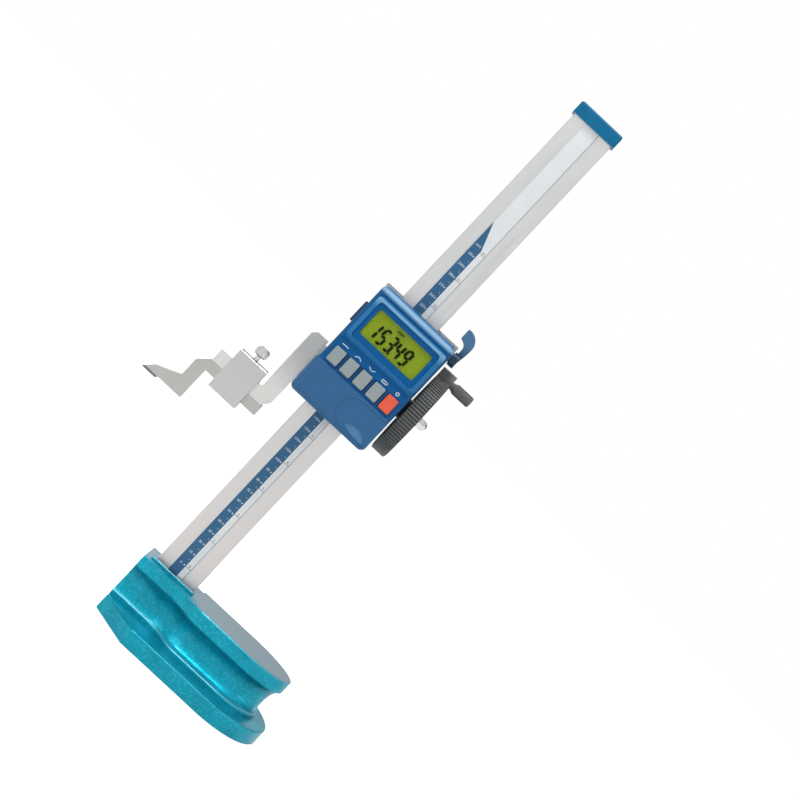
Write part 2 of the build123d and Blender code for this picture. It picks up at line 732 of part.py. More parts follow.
end_washer_right = left_bush_start - SLIDE_FIT
end_head_right = end_washer_right - END_WASHER_THICKNESS
end_head_left = end_head_right - END_HEAD_LENGTH
with BuildPart() as shaft_end_screw:
    rod((end_washer_right, shaft_y, CRANK_Z), (-1, 0, 0), END_WASHER_THICKNESS, END_WASHER_R)
    rod((end_head_right, shaft_y, CRANK_Z), (-1, 0, 0), END_HEAD_LENGTH, END_HEAD_R)
    rod((end_washer_right, shaft_y, CRANK_Z), (1, 0, 0), END_SCREW_LENGTH, END_SCREW_R)
    block(
        (end_head_left - 1, shaft_y - END_HEAD_R - 1, CRANK_Z - 0.35),
        (end_head_left + 0.8, shaft_y + END_HEAD_R + 1, CRANK_Z + 0.35),
        Mode.SUBTRACT,
    )
shaft_end_screw.part.label = "shaft_end_screw"

# Pinion with involute flanks: one tooth points at the rack, into a space between its teeth
base_radius = pinion_radius * cos(radians(PRESSURE_ANGLE))


def involute_angle(radius):
    """How far an involute has turned, in radians, when it reaches a radius."""
    return tan(acos(base_radius / radius)) - acos(base_radius / radius)


half_tooth = (pi / PINION_TEETH) / 2 - BACKLASH / 4 / pinion_radius + involute_angle(pinion_radius)


def flank_point(radius, center, side):
    """A point of a tooth's flank, on one side of the tooth's middle line."""
    angle = center + side * (half_tooth - involute_angle(radius))
    return (radius * cos(angle), radius * sin(angle))


with BuildPart() as drive_pinion:
    with BuildSketch(Plane(origin=(-PINION_WIDTH / 2, shaft_y, CRANK_Z), x_dir=(0, 1, 0), z_dir=(1, 0, 0))):
        with BuildLine():
            radii = [max(base_radius, pinion_root) + 0.001, pinion_radius, pinion_tip]
            outline = []
            for tooth in range(PINION_TEETH):
                middle = pi + tooth * 2 * pi / PINION_TEETH
                foot = half_tooth + 0.01
                outline.append((pinion_root * cos(middle - foot), pinion_root * sin(middle - foot)))
                outline += [flank_point(radius, middle, -1) for radius in radii]
                outline += [flank_point(radius, middle, 1) for radius in reversed(radii)]
                outline.append((pinion_root * cos(middle + foot), pinion_root * sin(middle + foot)))
            Polyline(*outline, close=True)
        make_face()
        Circle(SHAFT_RADIUS + PRESS_FIT, mode=Mode.SUBTRACT)
    extrude(amount=PINION_WIDTH)
    rod(pin_hole_foot, (0, 0, 1), 2 * pinion_tip + 2, PINION_PIN_R + PRESS_FIT, Mode.SUBTRACT)
drive_pinion.part.label = "drive_pinion"

with BuildPart() as pinion_pin:
    rod((0, shaft_y, CRANK_Z - pinion_root + 0.3), (0, 0, 1), 2 * pinion_root - 0.6, PINION_PIN_R)
pinion_pin.part.label = "pinion_pin"

# Crank wheel: a ribbed rim, a thin web, and a lug beyond the rim for the grip
wheel_plane = Plane(origin=(WHEEL_LEFT, shaft_y, CRANK_Z), x_dir=(0, 1, 0), z_dir=(1, 0, 0))
turning_plane = Plane(origin=(0, shaft_y, CRANK_Z), x_dir=(1, 0, 0), z_dir=(0, -1, 0))
crank_axis = Axis((0, shaft_y, CRANK_Z), (1, 0, 0))
wheel_width = WHEEL_RIGHT - WHEEL_LEFT
web_left = WHEEL_LEFT + (wheel_width - WEB_THICKNESS) / 2 - WEB_OFFSET
grip_z = CRANK_Z + CRANK_RADIUS
with BuildPart() as crank_wheel:
    with BuildSketch(turning_plane):
        with BuildLine():
            rim_inner = WHEEL_RADIUS - RIM_THICKNESS
            rib_root = WHEEL_RADIUS - RIB_HEIGHT
            Polyline(
                (WHEEL_LEFT, 0),
                (WHEEL_LEFT, HUB_RADIUS),
                (web_left, HUB_RADIUS + 1),
                (web_left, rim_inner - 1),
                (WHEEL_LEFT, rim_inner),
                (WHEEL_LEFT, rib_root - RIM_CHAMFER),
                (WHEEL_LEFT + RIM_CHAMFER, rib_root),
                (WHEEL_RIGHT - RIM_CHAMFER, rib_root),
                (WHEEL_RIGHT, rib_root - RIM_CHAMFER),
                (WHEEL_RIGHT, rim_inner),
                (web_left + WEB_THICKNESS, rim_inner - 1),
                (web_left + WEB_THICKNESS, HUB_RADIUS + 1),
                (WHEEL_RIGHT, HUB_RADIUS),
                (WHEEL_RIGHT, 0),
                close=True,
            )
        make_face()
    revolve(axis=crank_axis)
    rib_pitch = 2 * pi * WHEEL_RADIUS / RIB_COUNT
    with BuildSketch(wheel_plane.offset(RIM_CHAMFER)):
        with PolarLocations(WHEEL_RADIUS - RIB_HEIGHT / 2 - RIB_SINK / 2, RIB_COUNT):
            Trapezoid(rib_pitch * RIB_SHARE, RIB_HEIGHT + RIB_SINK, RIB_SLOPE, rotation=-90)
    extrude(amount=wheel_width - 2 * RIM_CHAMFER)
    with BuildSketch(wheel_plane):
        with Locations((0, CRANK_RADIUS)):
            Circle(LUG_RADIUS)
        with Locations((0, (CRANK_RADIUS + rim_inner) / 2)):
            Rectangle(2 * LUG_RADIUS, CRANK_RADIUS - rim_inner)
    extrude(amount=wheel_width)
    hub_start = (HUB_LEFT, shaft_y, CRANK_Z)
    hub_length = WHEEL_LEFT - HUB_LEFT
    rod(hub_start, (1, 0, 0), hub_length, HUB_RADIUS - 0.5)
    rod(hub_start, (1, 0, 0), hub_length, SHAFT_RADIUS + PRESS_FIT, Mode.SUBTRACT)
    rod((WHEEL_LEFT, shaft_y, CRANK_Z), (1, 0, 0), 20, WHEEL_SEAT_RADIUS + PRESS_FIT, Mode.SUBTRACT)
    rod((GRIP_LEFT - 8, shaft_y, grip_z), (1, 0, 0), 9, PIN_RADIUS + PRESS_FIT, Mode.SUBTRACT)
crank_wheel.part.label = "crank_wheel"

with BuildPart() as wheel_washer:
    rod((WHEEL_RIGHT, shaft_y, CRANK_Z), (1, 0, 0), WASHER_THICKNESS, WASHER_RADIUS)
    rod(
        (WHEEL_RIGHT, shaft_y, CRANK_Z),
        (1, 0, 0),
        WASHER_THICKNESS,
        THREAD_RADIUS + SCREW_FIT,
        Mode.SUBTRACT,
    )
wheel_washer.part.label = "wheel_washer"

# Domed cap nut: a hexagon with a dome turned on its outer end and a blind bore
nut_left = WHEEL_RIGHT + WASHER_THICKNESS
nut_right = nut_left + NUT_LENGTH
dome_radius = NUT_ACROSS_FLATS / 2
with BuildPart() as wheel_nut:
    with BuildSketch(Plane(origin=(nut_left, shaft_y, CRANK_Z), x_dir=(0, 1, 0), z_dir=(1, 0, 0))):
        RegularPolygon(NUT_ACROSS_FLATS / 2, 6, major_radius=False)
    extrude(amount=NUT_LENGTH)
    with BuildSketch(turning_plane):
        with BuildLine():
            Polyline(
                (nut_right, 0),
                (nut_left - 1, 0),
                (nut_left - 1, dome_radius + 1),
                (nut_right - dome_radius, dome_radius + 1),
                (nut_right - dome_radius, dome_radius),
            )
            CenterArc((nut_right - dome_radius, 0), dome_radius, 90, -90)
        make_face()
    revolve(axis=crank_axis, mode=Mode.INTERSECT)
    rod((nut_left, shaft_y, CRANK_Z), (1, 0, 0), 3.4, THREAD_RADIUS + PRESS_FIT, Mode.SUBTRACT)
wheel_nut.part.label = "wheel_nut"

pin_head_left = GRIP_RIGHT - 2.7
with BuildPart() as handle_pin:
    rod((GRIP_LEFT - 7, shaft_y, grip_z), (1, 0, 0), pin_head_left - GRIP_LEFT + 7, PIN_RADIUS)
    rod((pin_head_left, shaft_y, grip_z), (1, 0, 0), 2.0, PIN_HEAD_RADIUS)
    block(
        (pin_head_left + 1.2, shaft_y - 4, grip_z - 0.4),
        (pin_head_left + 3, shaft_y + 4, grip_z + 0.4),
        Mode.SUBTRACT,
    )
handle_pin.part.label = "handle_pin"

# Grip that spins on its pin, ribbed along its length
grip_plane = Plane(origin=(GRIP_LEFT, shaft_y, grip_z), x_dir=(0, 1, 0), z_dir=(1, 0, 0))
with BuildPart() as crank_grip:
    with BuildSketch(grip_plane):
        Circle(GRIP_RADIUS - 0.35)
        with PolarLocations(GRIP_RADIUS - 0.35, GRIP_RIBS):
            Rectangle(0.7, 0.8)
    extrude(amount=GRIP_RIGHT - GRIP_LEFT)
    with BuildSketch(Plane(origin=(0, shaft_y, grip_z), x_dir=(1, 0, 0), z_dir=(0, -1, 0))):
        with BuildLine():
            Polyline(
                (GRIP_RIGHT, 0),
                (GRIP_LEFT, 0),
                (GRIP_LEFT, GRIP_NECK_RADIUS),
                (GRIP_LEFT + 1.2, GRIP_NECK_RADIUS),
                (GRIP_LEFT + 4.4, GRIP_RADIUS + 0.1),
                (GRIP_RIGHT - 1.4, GRIP_RADIUS + 0.1),
            )
            ThreePointArc(
                (GRIP_RIGHT - 1.4, GRIP_RADIUS + 0.1),
                (GRIP_RIGHT - 0.35, GRIP_RADIUS - 0.5),
                (GRIP_RIGHT, GRIP_RADIUS - 1.0),
            )
            Line((GRIP_RIGHT, GRIP_RADIUS - 1.0), (GRIP_RIGHT, 0))
        make_face()
    revolve(axis=Axis((0, shaft_y, grip_z), (1, 0, 0)), mode=Mode.INTERSECT)
    rod((GRIP_LEFT - 1, shaft_y, grip_z), (1, 0, 0), 30, PIN_RADIUS + SHAFT_FIT, Mode.SUBTRACT)
    rod(
        (pin_head_left - 0.1, shaft_y, grip_z), (1, 0, 0), 5, PIN_HEAD_RADIUS + 0.1, Mode.SUBTRACT
    )
crank_grip.part.label = "crank_grip"

# Lock lever: a hooked arm on a round hub, screwed against the gib strip
with BuildPart() as lock_lever:
    with BuildSketch(upright(column_middle + LEVER_WIDTH / 2)):
        with BuildLine():
            Polyline(
                (LOCK_HUB_RIGHT, LOCK_Z),
                (LEVER_INNER, LOCK_Z),
                (LEVER_INNER, LEVER_HOOK_BOTTOM - 4.6),
            )
            ThreePointArc(
                (LEVER_INNER, LEVER_HOOK_BOTTOM - 4.6),
                (LEVER_INNER - 0.7, LEVER_HOOK_BOTTOM - 2.0),
                (LEVER_INNER - 2.8, LEVER_HOOK_BOTTOM),
            )
            Polyline(
                (LEVER_INNER - 2.8, LEVER_HOOK_BOTTOM),
                (LEVER_HOOK_LEFT, LEVER_HOOK_BOTTOM + 1.5),
                (LEVER_HOOK_LEFT, LEVER_TOP - 1.0),
            )
            ThreePointArc(
                (LEVER_HOOK_LEFT, LEVER_TOP - 1.0),
                (LEVER_HOOK_LEFT + 0.3, LEVER_TOP - 0.3),
                (LEVER_HOOK_LEFT + 1.0, LEVER_TOP),
            )
            ThreePointArc(
                (LEVER_HOOK_LEFT + 1.0, LEVER_TOP),
                (LEVER_HOOK_RIGHT - 3.1, LEVER_TOP - 2.8),
                (LEVER_HOOK_RIGHT, LEVER_TOP - 10.0),
            )
            ThreePointArc(
                (LEVER_HOOK_RIGHT, LEVER_TOP - 10.0),
                (LEVER_HOOK_RIGHT - 0.5, LOCK_Z + 6.6),
                (LOCK_HUB_RIGHT, LOCK_Z),
            )
        make_face()
    extrude(amount=LEVER_WIDTH)
    fillet(lock_lever.edges().filter_by(GeomType.CIRCLE).group_by(Axis.Y)[0], 0.8)
    rod(
        (LOCK_HUB_LEFT, column_middle, LOCK_Z),
        (1, 0, 0),
        LOCK_HUB_RIGHT - LOCK_HUB_LEFT,
        LOCK_HUB_RADIUS,
    )
    rod(
        (SLIDER_RIGHT + SLIDE_FIT, column_middle, LOCK_Z),
        (1, 0, 0),
        LOCK_HUB_LEFT - SLIDER_RIGHT,
        LOCK_SCREW_R + 1.6,
    )
    rod((SLIDER_RIGHT, column_middle, LOCK_Z), (1, 0, 0), 12, LOCK_SCREW_R + PRESS_FIT, Mode.SUBTRACT)
lock_lever.part.label = "lock_lever"

with BuildPart() as lock_screw:
    lock_screw_left = gib_right + SLIDE_FIT
    rod((lock_screw_left, column_middle, LOCK_Z), (1, 0, 0), LOCK_HUB_RIGHT - lock_screw_left, LOCK_SCREW_R)
    block(
        (LOCK_HUB_RIGHT - 1.0, column_middle - 3, LOCK_Z - 0.4),
        (LOCK_HUB_RIGHT + 1.0, column_middle + 3, LOCK_Z + 0.4),
        Mode.SUBTRACT,
    )
lock_screw.part.label = "lock_screw"

# Display housing, seen from the front: brow, display field, button panel and battery slab
button_z = PANEL_BOTTOM + BUTTON_RISE
lcd_center = ((LCD_LEFT + LCD_RIGHT) / 2, (LCD_BOTTOM + LCD_TOP) / 2)
bezel_center = ((BEZEL_LEFT + BEZEL_RIGHT) / 2, (BEZEL_BOTTOM + BEZEL_TOP) / 2)
bezel_size = (BEZEL_RIGHT - BEZEL_LEFT, BEZEL_TOP - BEZEL_BOTTOM)
panel_center = ((PANEL_LEFT + PANEL_RIGHT) / 2, (PANEL_BOTTOM + BEZEL_BOTTOM) / 2)
button_xs = [
    BUTTON_MIDDLE_X + (number - (BUTTON_COUNT - 1) / 2) * BUTTON_PITCH for number in range(BUTTON_COUNT)
]
board_back = BOARD_FRONT + BOARD_THICKNESS
door_back = HOUSING_FRONT + DOOR_THICKNESS
cell_front = door_back + PANEL_GAP
pocket_floor = cell_front + CELL_THICKNESS + 0.5


def door_outline(gap):
    """The battery door: round on the left, open to the side of the housing on the right."""
    radius = DOOR_RADIUS + gap
    with BuildLine() as door:
        Line((HOUSING_RIGHT, DOOR_CENTER_Z + radius), (DOOR_CENTER_X, DOOR_CENTER_Z + radius))
        CenterArc((DOOR_CENTER_X, DOOR_CENTER_Z), radius, 90, 180)
        Line((DOOR_CENTER_X, DOOR_CENTER_Z - radius), (HOUSING_RIGHT, DOOR_CENTER_Z - radius))
        Line((HOUSING_RIGHT, DOOR_CENTER_Z - radius), (HOUSING_RIGHT, DOOR_CENTER_Z + radius))
    make_face(door.edges())


with BuildPart() as display_housing:
    with BuildSketch(upright(SLIDER_FRONT)) as front_outline:
        with BuildLine():
            Polyline(
                (HOUSING_LEFT, HOUSING_TOP),
                (HOUSING_LEFT, SLAB_TOP + SHOULDER_ROUND),
                (SLAB_LEFT, SLAB_TOP - SHOULDER_ROUND),
                (SLAB_LEFT, HOUSING_BOTTOM),
                (HOUSING_RIGHT, HOUSING_BOTTOM),
                (HOUSING_RIGHT, HOUSING_TOP),
                close=True,
            )
        make_face()
        fillet(front_outline.vertices().group_by(Axis.Z)[0], CORNER_RADIUS)
        shoulder = front_outline.vertices().group_by(Axis.X)[0].sort_by(Axis.Z)[-1]
        fillet(shoulder, SHOULDER_ROUND)
    extrude(amount=SLIDER_FRONT - HOUSING_FRONT)
    brow_edge = display_housing.edges().group_by(Axis.Y)[0].sort_by(Axis.Z)[-1]
    fillet(brow_edge, BROW_RADIUS)
    # Display field: the sides step back, and the field lies inside a raised rim
    with BuildSketch(upright(HOUSING_FRONT)) as step_back:
        with BuildLine():
            Polyline(
                (HOUSING_LEFT - 1, BEZEL_FOOT),
                (BEZEL_LEFT, BEZEL_FOOT),
                (BEZEL_LEFT, BEZEL_TOP),
                (BEZEL_RIGHT, BEZEL_TOP),
                (BEZEL_RIGHT, BEZEL_FOOT),
                (HOUSING_RIGHT + 1, BEZEL_FOOT),
                (HOUSING_RIGHT + 1, BROW_FOOT),
                (HOUSING_LEFT - 1, BROW_FOOT),
                close=True,
            )
        make_face()
        rim_corners = [
            corner for corner in step_back.vertices() if HOUSING_LEFT < corner.X < HOUSING_RIGHT
        ]
        fillet([corner for corner in rim_corners if corner.Z > BEZEL_FOOT + 1], BEZEL_CORNER)
        fillet([corner for corner in rim_corners if corner.Z < BEZEL_FOOT + 1], BEZEL_FLARE)
    extrude(amount=-SIDE_STEP, mode=Mode.SUBTRACT, taper=RIM_TAPER)
    with BuildSketch(upright(HOUSING_FRONT)):
        with Locations(bezel_center):
            RectangleRounded(bezel_size[0] - 2 * BEZEL_RIM, bezel_size[1] - 2 * BEZEL_RIM, 2.6)
    extrude(amount=-BEZEL_DEPTH, mode=Mode.SUBTRACT, taper=RIM_TAPER)
    with BuildSketch(upright(HOUSING_FRONT)) as panel:
        with Locations(panel_center):
            Rectangle(PANEL_RIGHT - PANEL_LEFT, BEZEL_BOTTOM - PANEL_BOTTOM)
        fillet(panel.vertices().group_by(Axis.Z)[0], PANEL_CORNER)
    extrude(amount=-PANEL_DEPTH, mode=Mode.SUBTRACT)
    # The rim's inner edge is soft
    inner_edges = display_housing.edges().group_by(Axis.Y)[0]
    inner_edges = inner_edges.filter_by_position(Axis.X, BEZEL_LEFT + 1, BEZEL_RIGHT - 1)
    inner_edges = inner_edges.filter_by_position(Axis.Z, BEZEL_BOTTOM + 1, BEZEL_TOP - 1)
    fillet(inner_edges, BEZEL_ROUND)
    # Inside
    block(
        (HOUSING_LEFT + HOUSING_WALL, FRONT_WALL_INSIDE, HOUSING_BOTTOM + HOUSING_WALL),
        (HOUSING_RIGHT - HOUSING_WALL, SLIDER_FRONT + 1, HOUSING_TOP - HOUSING_WALL),
        Mode.SUBTRACT,
    )
    rod(
        (DOOR_CENTER_X, pocket_floor + 1.0, DOOR_CENTER_Z),
        (0, -1, 0),
        pocket_floor + 1.0 - FRONT_WALL_INSIDE,
        CELL_RADIUS + 1.6,
    )
    for x in HOUSING_SCREW_X:
        for z in HOUSING_SCREW_Z:
            rod(
                (x, SLIDER_FRONT - BACKPLATE_THICKNESS, z),
                (0, -1, 0),
                SLIDER_FRONT - BACKPLATE_THICKNESS - FRONT_WALL_INSIDE,
                HOUSING_SCREW_R + 1.35,
            )
            rod(
                (x, SLIDER_FRONT, z),
                (0, -1, 0),
                HOUSING_SCREW_REACH + 1,
                HOUSING_SCREW_R + SCREW_FIT,
                Mode.SUBTRACT,
            )
    # Openings for the display, the buttons, the battery and the data port
    with BuildSketch(upright(HOUSING_FRONT)):
        with Locations(lcd_center):
            RectangleRounded(LCD_RIGHT - LCD_LEFT, LCD_TOP - LCD_BOTTOM, 2.0)
        with Locations(*[(x, button_z) for x in button_xs]):
            RectangleRounded(BUTTON_WIDTH + 2 * BUTTON_GAP, BUTTON_HEIGHT + 2 * BUTTON_GAP, 1.3)
    extrude(amount=-(FRONT_WALL_INSIDE - HOUSING_FRONT), mode=Mode.SUBTRACT)
    with BuildSketch(upright(HOUSING_FRONT)):
        door_outline(PANEL_GAP)
    extrude(amount=-(DOOR_THICKNESS + PANEL_GAP / 2), mode=Mode.SUBTRACT)
    rod(
        (DOOR_CENTER_X, HOUSING_FRONT, DOOR_CENTER_Z),
        (0, 1, 0),
        pocket_floor - HOUSING_FRONT,
        CELL_RADIUS + 0.3,
        Mode.SUBTRACT,
    )
    block(
        (HOUSING_LEFT - 1, PORT_FRONT, PORT_BOTTOM),
        (HOUSING_LEFT + HOUSING_WALL + 0.5, PORT_BACK, PORT_TOP),
        Mode.SUBTRACT,
    )
display_housing.part.label = "display_housing"

with BuildPart() as display_backplate:
    inner_left = HOUSING_LEFT + HOUSING_WALL + SEAT_FIT
    inner_right = HOUSING_RIGHT - HOUSING_WALL - SEAT_FIT
    block(
        (inner_left, SLIDER_FRONT - BACKPLATE_THICKNESS, HOUSING_BOTTOM + HOUSING_WALL + SEAT_FIT),
        (inner_right, SLIDER_FRONT, HOUSING_TOP - HOUSING_WALL - SEAT_FIT),
    )
    for x in POST_XS:
        for z in POST_HEIGHTS:
            rod(
                (x, SLIDER_FRONT - BACKPLATE_THICKNESS, z),
                (0, -1, 0),
                SLIDER_FRONT - BACKPLATE_THICKNESS - board_back,
                POST_RADIUS,
            )
    for x in HOUSING_SCREW_X:
        for z in HOUSING_SCREW_Z:
            rod((x, SLIDER_FRONT + 1, z), (0, -1, 0), 5, HOUSING_SCREW_R + SCREW_FIT, Mode.SUBTRACT)
display_backplate.part.label = "display_backplate"

with BuildPart() as read_head:
    half_opening = column_half - LIP_REACH - 1.0
    block(
        (-half_opening, SLIDER_FRONT, READ_HEAD_BOTTOM),
        (half_opening, COLUMN_FRONT - READ_GAP, READ_HEAD_TOP),
    )
read_head.part.label = "read_head"

with BuildPart() as housing_screws:
    head_seat = slider_back - HOUSING_HEAD_LENGTH - 0.5
    for x in HOUSING_SCREW_X:
        for z in HOUSING_SCREW_Z:
            socket_screw(
                (x, head_seat, z),
                (0, -1, 0),
                HOUSING_SCREW_R,
                head_seat - SLIDER_FRONT + HOUSING_SCREW_REACH,
                HOUSING_HEAD_R,
                HOUSING_HEAD_LENGTH,
            )
housing_screws.part.label = "housing_screws"

with BuildPart() as lcd_module:
    block(
        (LCD_LEFT - 1.6, FRONT_WALL_INSIDE, LCD_BOTTOM - 2.5),
        (LCD_RIGHT + 1.2, BOARD_FRONT, LCD_TOP + 2.5),
    )
lcd_module.part.label = "lcd_module"

with BuildPart() as lcd_window:
    with BuildSketch(upright(FRONT_WALL_INSIDE)):
        with Locations(lcd_center):
            RectangleRounded(LCD_RIGHT - LCD_LEFT - 2 * SEAT_FIT, LCD_TOP - LCD_BOTTOM - 2 * SEAT_FIT, 1.95)
    extrude(amount=1.0)
lcd_window.part.label = "lcd_window"

with BuildPart() as circuit_board:
    block((BOARD_LEFT, BOARD_FRONT, BOARD_BOTTOM), (BOARD_RIGHT, board_back, BOARD_TOP))
circuit_board.part.label = "circuit_board"

button_flange_front = FRONT_WALL_INSIDE + SLIDE_FIT
button_flange_back = button_flange_front + 1.0
stem_length = 1.7
switch_top = button_flange_back + stem_length + BUTTON_TRAVEL + SLIDE_FIT
with BuildPart() as dome_switches:
    for x in button_xs:
        rod((x, BOARD_FRONT, button_z), (0, -1, 0), BOARD_FRONT - switch_top, SWITCH_RADIUS)
dome_switches.part.label = "dome_switches"

buttons = []
for number, x in enumerate(button_xs):
    with BuildPart() as button:
        with BuildSketch(upright(button_flange_front)):
            with Locations((x, button_z)):
                RectangleRounded(BUTTON_WIDTH, BUTTON_HEIGHT, 1.0)
        extrude(amount=button_flange_front - HOUSING_FRONT + BUTTON_PROUD)
        chamfer(button.faces().sort_by(Axis.Y)[0].edges(), BUTTON_CHAMFER)
        # A flange behind the wall keeps the button in, and a stem presses the dome
        block(
            (x - BUTTON_WIDTH / 2 - 0.9, button_flange_front, button_z - BUTTON_HEIGHT / 2 - 0.9),
            (x + BUTTON_WIDTH / 2 + 0.9, button_flange_back, button_z + BUTTON_HEIGHT / 2 + 0.9),
        )
        rod((x, button_flange_back, button_z), (0, 1, 0), stem_length, 2.0)
    button.part.label = f"button_{number + 1}"
    buttons.append(button.part)

with BuildPart() as data_connector:
    block(
        (CONNECTOR_LEFT, board_back, PORT_BOTTOM + 0.5),
        (CONNECTOR_RIGHT, PORT_BACK - 0.5, PORT_TOP - 0.5),
    )
    block(
        (CONNECTOR_LEFT - 1, board_back + 1, PORT_BOTTOM + 1.6),
        (CONNECTOR_LEFT + 3, PORT_BACK - 1.5, PORT_TOP - 1.6),
        Mode.SUBTRACT,
    )
data_connector.part.label = "data_connector"

with BuildPart() as port_cover:
    block(
        (HOUSING_LEFT - PORT_COVER_THICKNESS, PORT_FRONT - 2.0, PORT_COVER_BOTTOM),
        (HOUSING_LEFT - SEAT_FIT, PORT_BACK + 2.0, PORT_COVER_TOP),
    )
    fillet(port_cover.faces().sort_by(Axis.X)[0].edges(), 0.7)
    block(
        (HOUSING_LEFT - 0.5, PORT_FRONT + 0.12, PORT_BOTTOM + 0.12),
        (HOUSING_LEFT + HOUSING_WALL - 0.2, PORT_BACK - 0.12, PORT_TOP - 0.12),
    )
port_cover.part.label = "port_cover"

with BuildPart() as battery_door:
    with BuildSketch(upright(door_back)):
        door_outline(0)
    extrude(amount=DOOR_THICKNESS)
    # Crescent for the thumb
    with BuildSketch(upright(HOUSING_FRONT)):
        with BuildLine():
            thumb_middle = (THUMB_LEFT + THUMB_RIGHT) / 2
            ThreePointArc(
                (THUMB_LEFT, THUMB_BOTTOM + 2.7),
                (thumb_middle, THUMB_TOP),
                (THUMB_RIGHT, THUMB_BOTTOM),
            )
            ThreePointArc(
                (THUMB_RIGHT, THUMB_BOTTOM),
                (thumb_middle, THUMB_BOTTOM + 0.1),
                (THUMB_LEFT, THUMB_BOTTOM + 2.7),
            )
        make_face()
    extrude(amount=-THUMB_DEPTH, mode=Mode.SUBTRACT)
battery_door.part.label = "battery_door"

with BuildPart() as battery:
    rod((DOOR_CENTER_X, cell_front, DOOR_CENTER_Z), (0, 1, 0), CELL_THICKNESS, CELL_RADIUS)
    chamfer(battery.edges().filter_by(GeomType.CIRCLE), 0.3)
battery.part.label = "battery"

with BuildPart() as battery_contact:
    rod((DOOR_CENTER_X, pocket_floor - 0.4, DOOR_CENTER_Z), (0, 1, 0), 0.4, 5.0)
battery_contact.part.label = "battery_contact"

# Measuring jaw: an arm beside the housing and a beam that carries the scriber
jaw_arm_left = JAW_RIGHT - JAW_ARM_WIDTH
with BuildPart() as measuring_jaw:
    with BuildSketch(upright(jaw_back)):
        with BuildLine():
            Polyline(
                (JAW_LEFT, JAW_BOTTOM),
                (JAW_RIGHT - 4.4, JAW_BOTTOM),
                (JAW_RIGHT, JAW_BOTTOM + 5.3),
                (JAW_RIGHT, JAW_TOP),
                (jaw_arm_left + JAW_CUT, JAW_TOP),
                (jaw_arm_left, JAW_TOP - JAW_CUT),
                (jaw_arm_left, JAW_BOTTOM + JAW_HEIGHT),
                (JAW_LEFT, JAW_BOTTOM + JAW_HEIGHT),
                close=True,
            )
        make_face()
    extrude(amount=JAW_THICKNESS)
    # Pad that seats on the slider
    block((JAW_RIGHT - 0.5, jaw_front + 1.1, JAW_PAD_BOTTOM), (SLIDER_LEFT, jaw_back, JAW_PAD_TOP))
    for z in JAW_SCREW_HEIGHTS:
        rod((jaw_arm_left - 1, jaw_screw_y, z), (1, 0, 0), 30, JAW_SCREW_R + SCREW_FIT, Mode.SUBTRACT)
        rod(
            (jaw_arm_left - 1, jaw_screw_y, z),
            (1, 0, 0),
            JAW_HEAD_LENGTH + 1.4,
            JAW_HEAD_R + SCREW_FIT,
            Mode.SUBTRACT,
        )
measuring_jaw.part.label = "measuring_jaw"

with BuildPart() as jaw_screws:
    for z in JAW_SCREW_HEIGHTS:
        socket_screw(
            (jaw_arm_left + JAW_HEAD_LENGTH + 0.4, jaw_screw_y, z),
            (1, 0, 0),
            JAW_SCREW_R,
            SLIDER_LEFT - jaw_arm_left - JAW_HEAD_LENGTH + JAW_SCREW_REACH,
            JAW_HEAD_R,
            JAW_HEAD_LENGTH,
        )
jaw_screws.part.label = "jaw_screws"

# Scriber: a shank under the beam, a leg, and a foot that runs out to a hard tip
with BuildPart() as scriber:
    with BuildSketch(upright(jaw_back)):
        with BuildLine():
            Polyline(
                (SCRIBER_RIGHT, scriber_top),
                (SCRIBER_RIGHT, scriber_bottom),
                (SCRIBER_LEG_RIGHT, scriber_bottom),
                (SCRIBER_LEG_RIGHT, SCRIBER_SOLE),
                (CARBIDE_RIGHT, SCRIBER_SOLE),
                (CARBIDE_RIGHT, CARBIDE_BOTTOM + CARBIDE_HEIGHT),
                (SCRIBER_TIP_X + TIP_LEAN, CARBIDE_BOTTOM + CARBIDE_HEIGHT),
                (SCRIBER_NECK_X, SCRIBER_NECK_Z),
                (SCRIBER_LEG_LEFT, SCRIBER_KNEE),
                (SCRIBER_LEG_LEFT, SCRIBER_SHOULDER),
                (SCRIBER_LEG_LEFT + SCRIBER_SHOULDER_RUN, scriber_top),
                close=True,
            )
        make_face()
    extrude(amount=JAW_THICKNESS)
scriber.part.label = "scriber"

with BuildPart() as carbide_tip:
    with BuildSketch(upright(jaw_back)):
        with BuildLine():
            Polyline(
                (CARBIDE_RIGHT, CARBIDE_BOTTOM + CARBIDE_HEIGHT),
                (CARBIDE_RIGHT - 1.2, CARBIDE_BOTTOM),
                (SCRIBER_TIP_X, CARBIDE_BOTTOM),
                (SCRIBER_TIP_X + TIP_LEAN, CARBIDE_BOTTOM + CARBIDE_HEIGHT),
                close=True,
            )
        make_face()
    extrude(amount=JAW_THICKNESS)
carbide_tip.part.label = "carbide_tip"

clamp_middle_x = (CLAMP_LEFT + CLAMP_RIGHT) / 2
clamp_window_top = JAW_BOTTOM + JAW_HEIGHT + CLAMP_HEADROOM
with BuildPart() as scriber_clamp:
    block(
        (CLAMP_LEFT, JAW_CENTER_Y - CLAMP_DEPTH / 2, CLAMP_BOTTOM),
        (CLAMP_RIGHT, JAW_CENTER_Y + CLAMP_DEPTH / 2, CLAMP_TOP),
    )
    chamfer(scriber_clamp.edges().filter_by(Axis.X), 0.5)
    block(
        (CLAMP_LEFT - 1, jaw_front - SLIDE_FIT, scriber_bottom - SLIDE_FIT),
        (CLAMP_RIGHT + 1, jaw_back + SLIDE_FIT, clamp_window_top),
        Mode.SUBTRACT,
    )
    rod(
        (clamp_middle_x, JAW_CENTER_Y, clamp_window_top - 1),
        (0, 0, 1),
        20,
        KNOB_SHANK_R + SHAFT_FIT,
        Mode.SUBTRACT,
    )
scriber_clamp.part.label = "scriber_clamp"

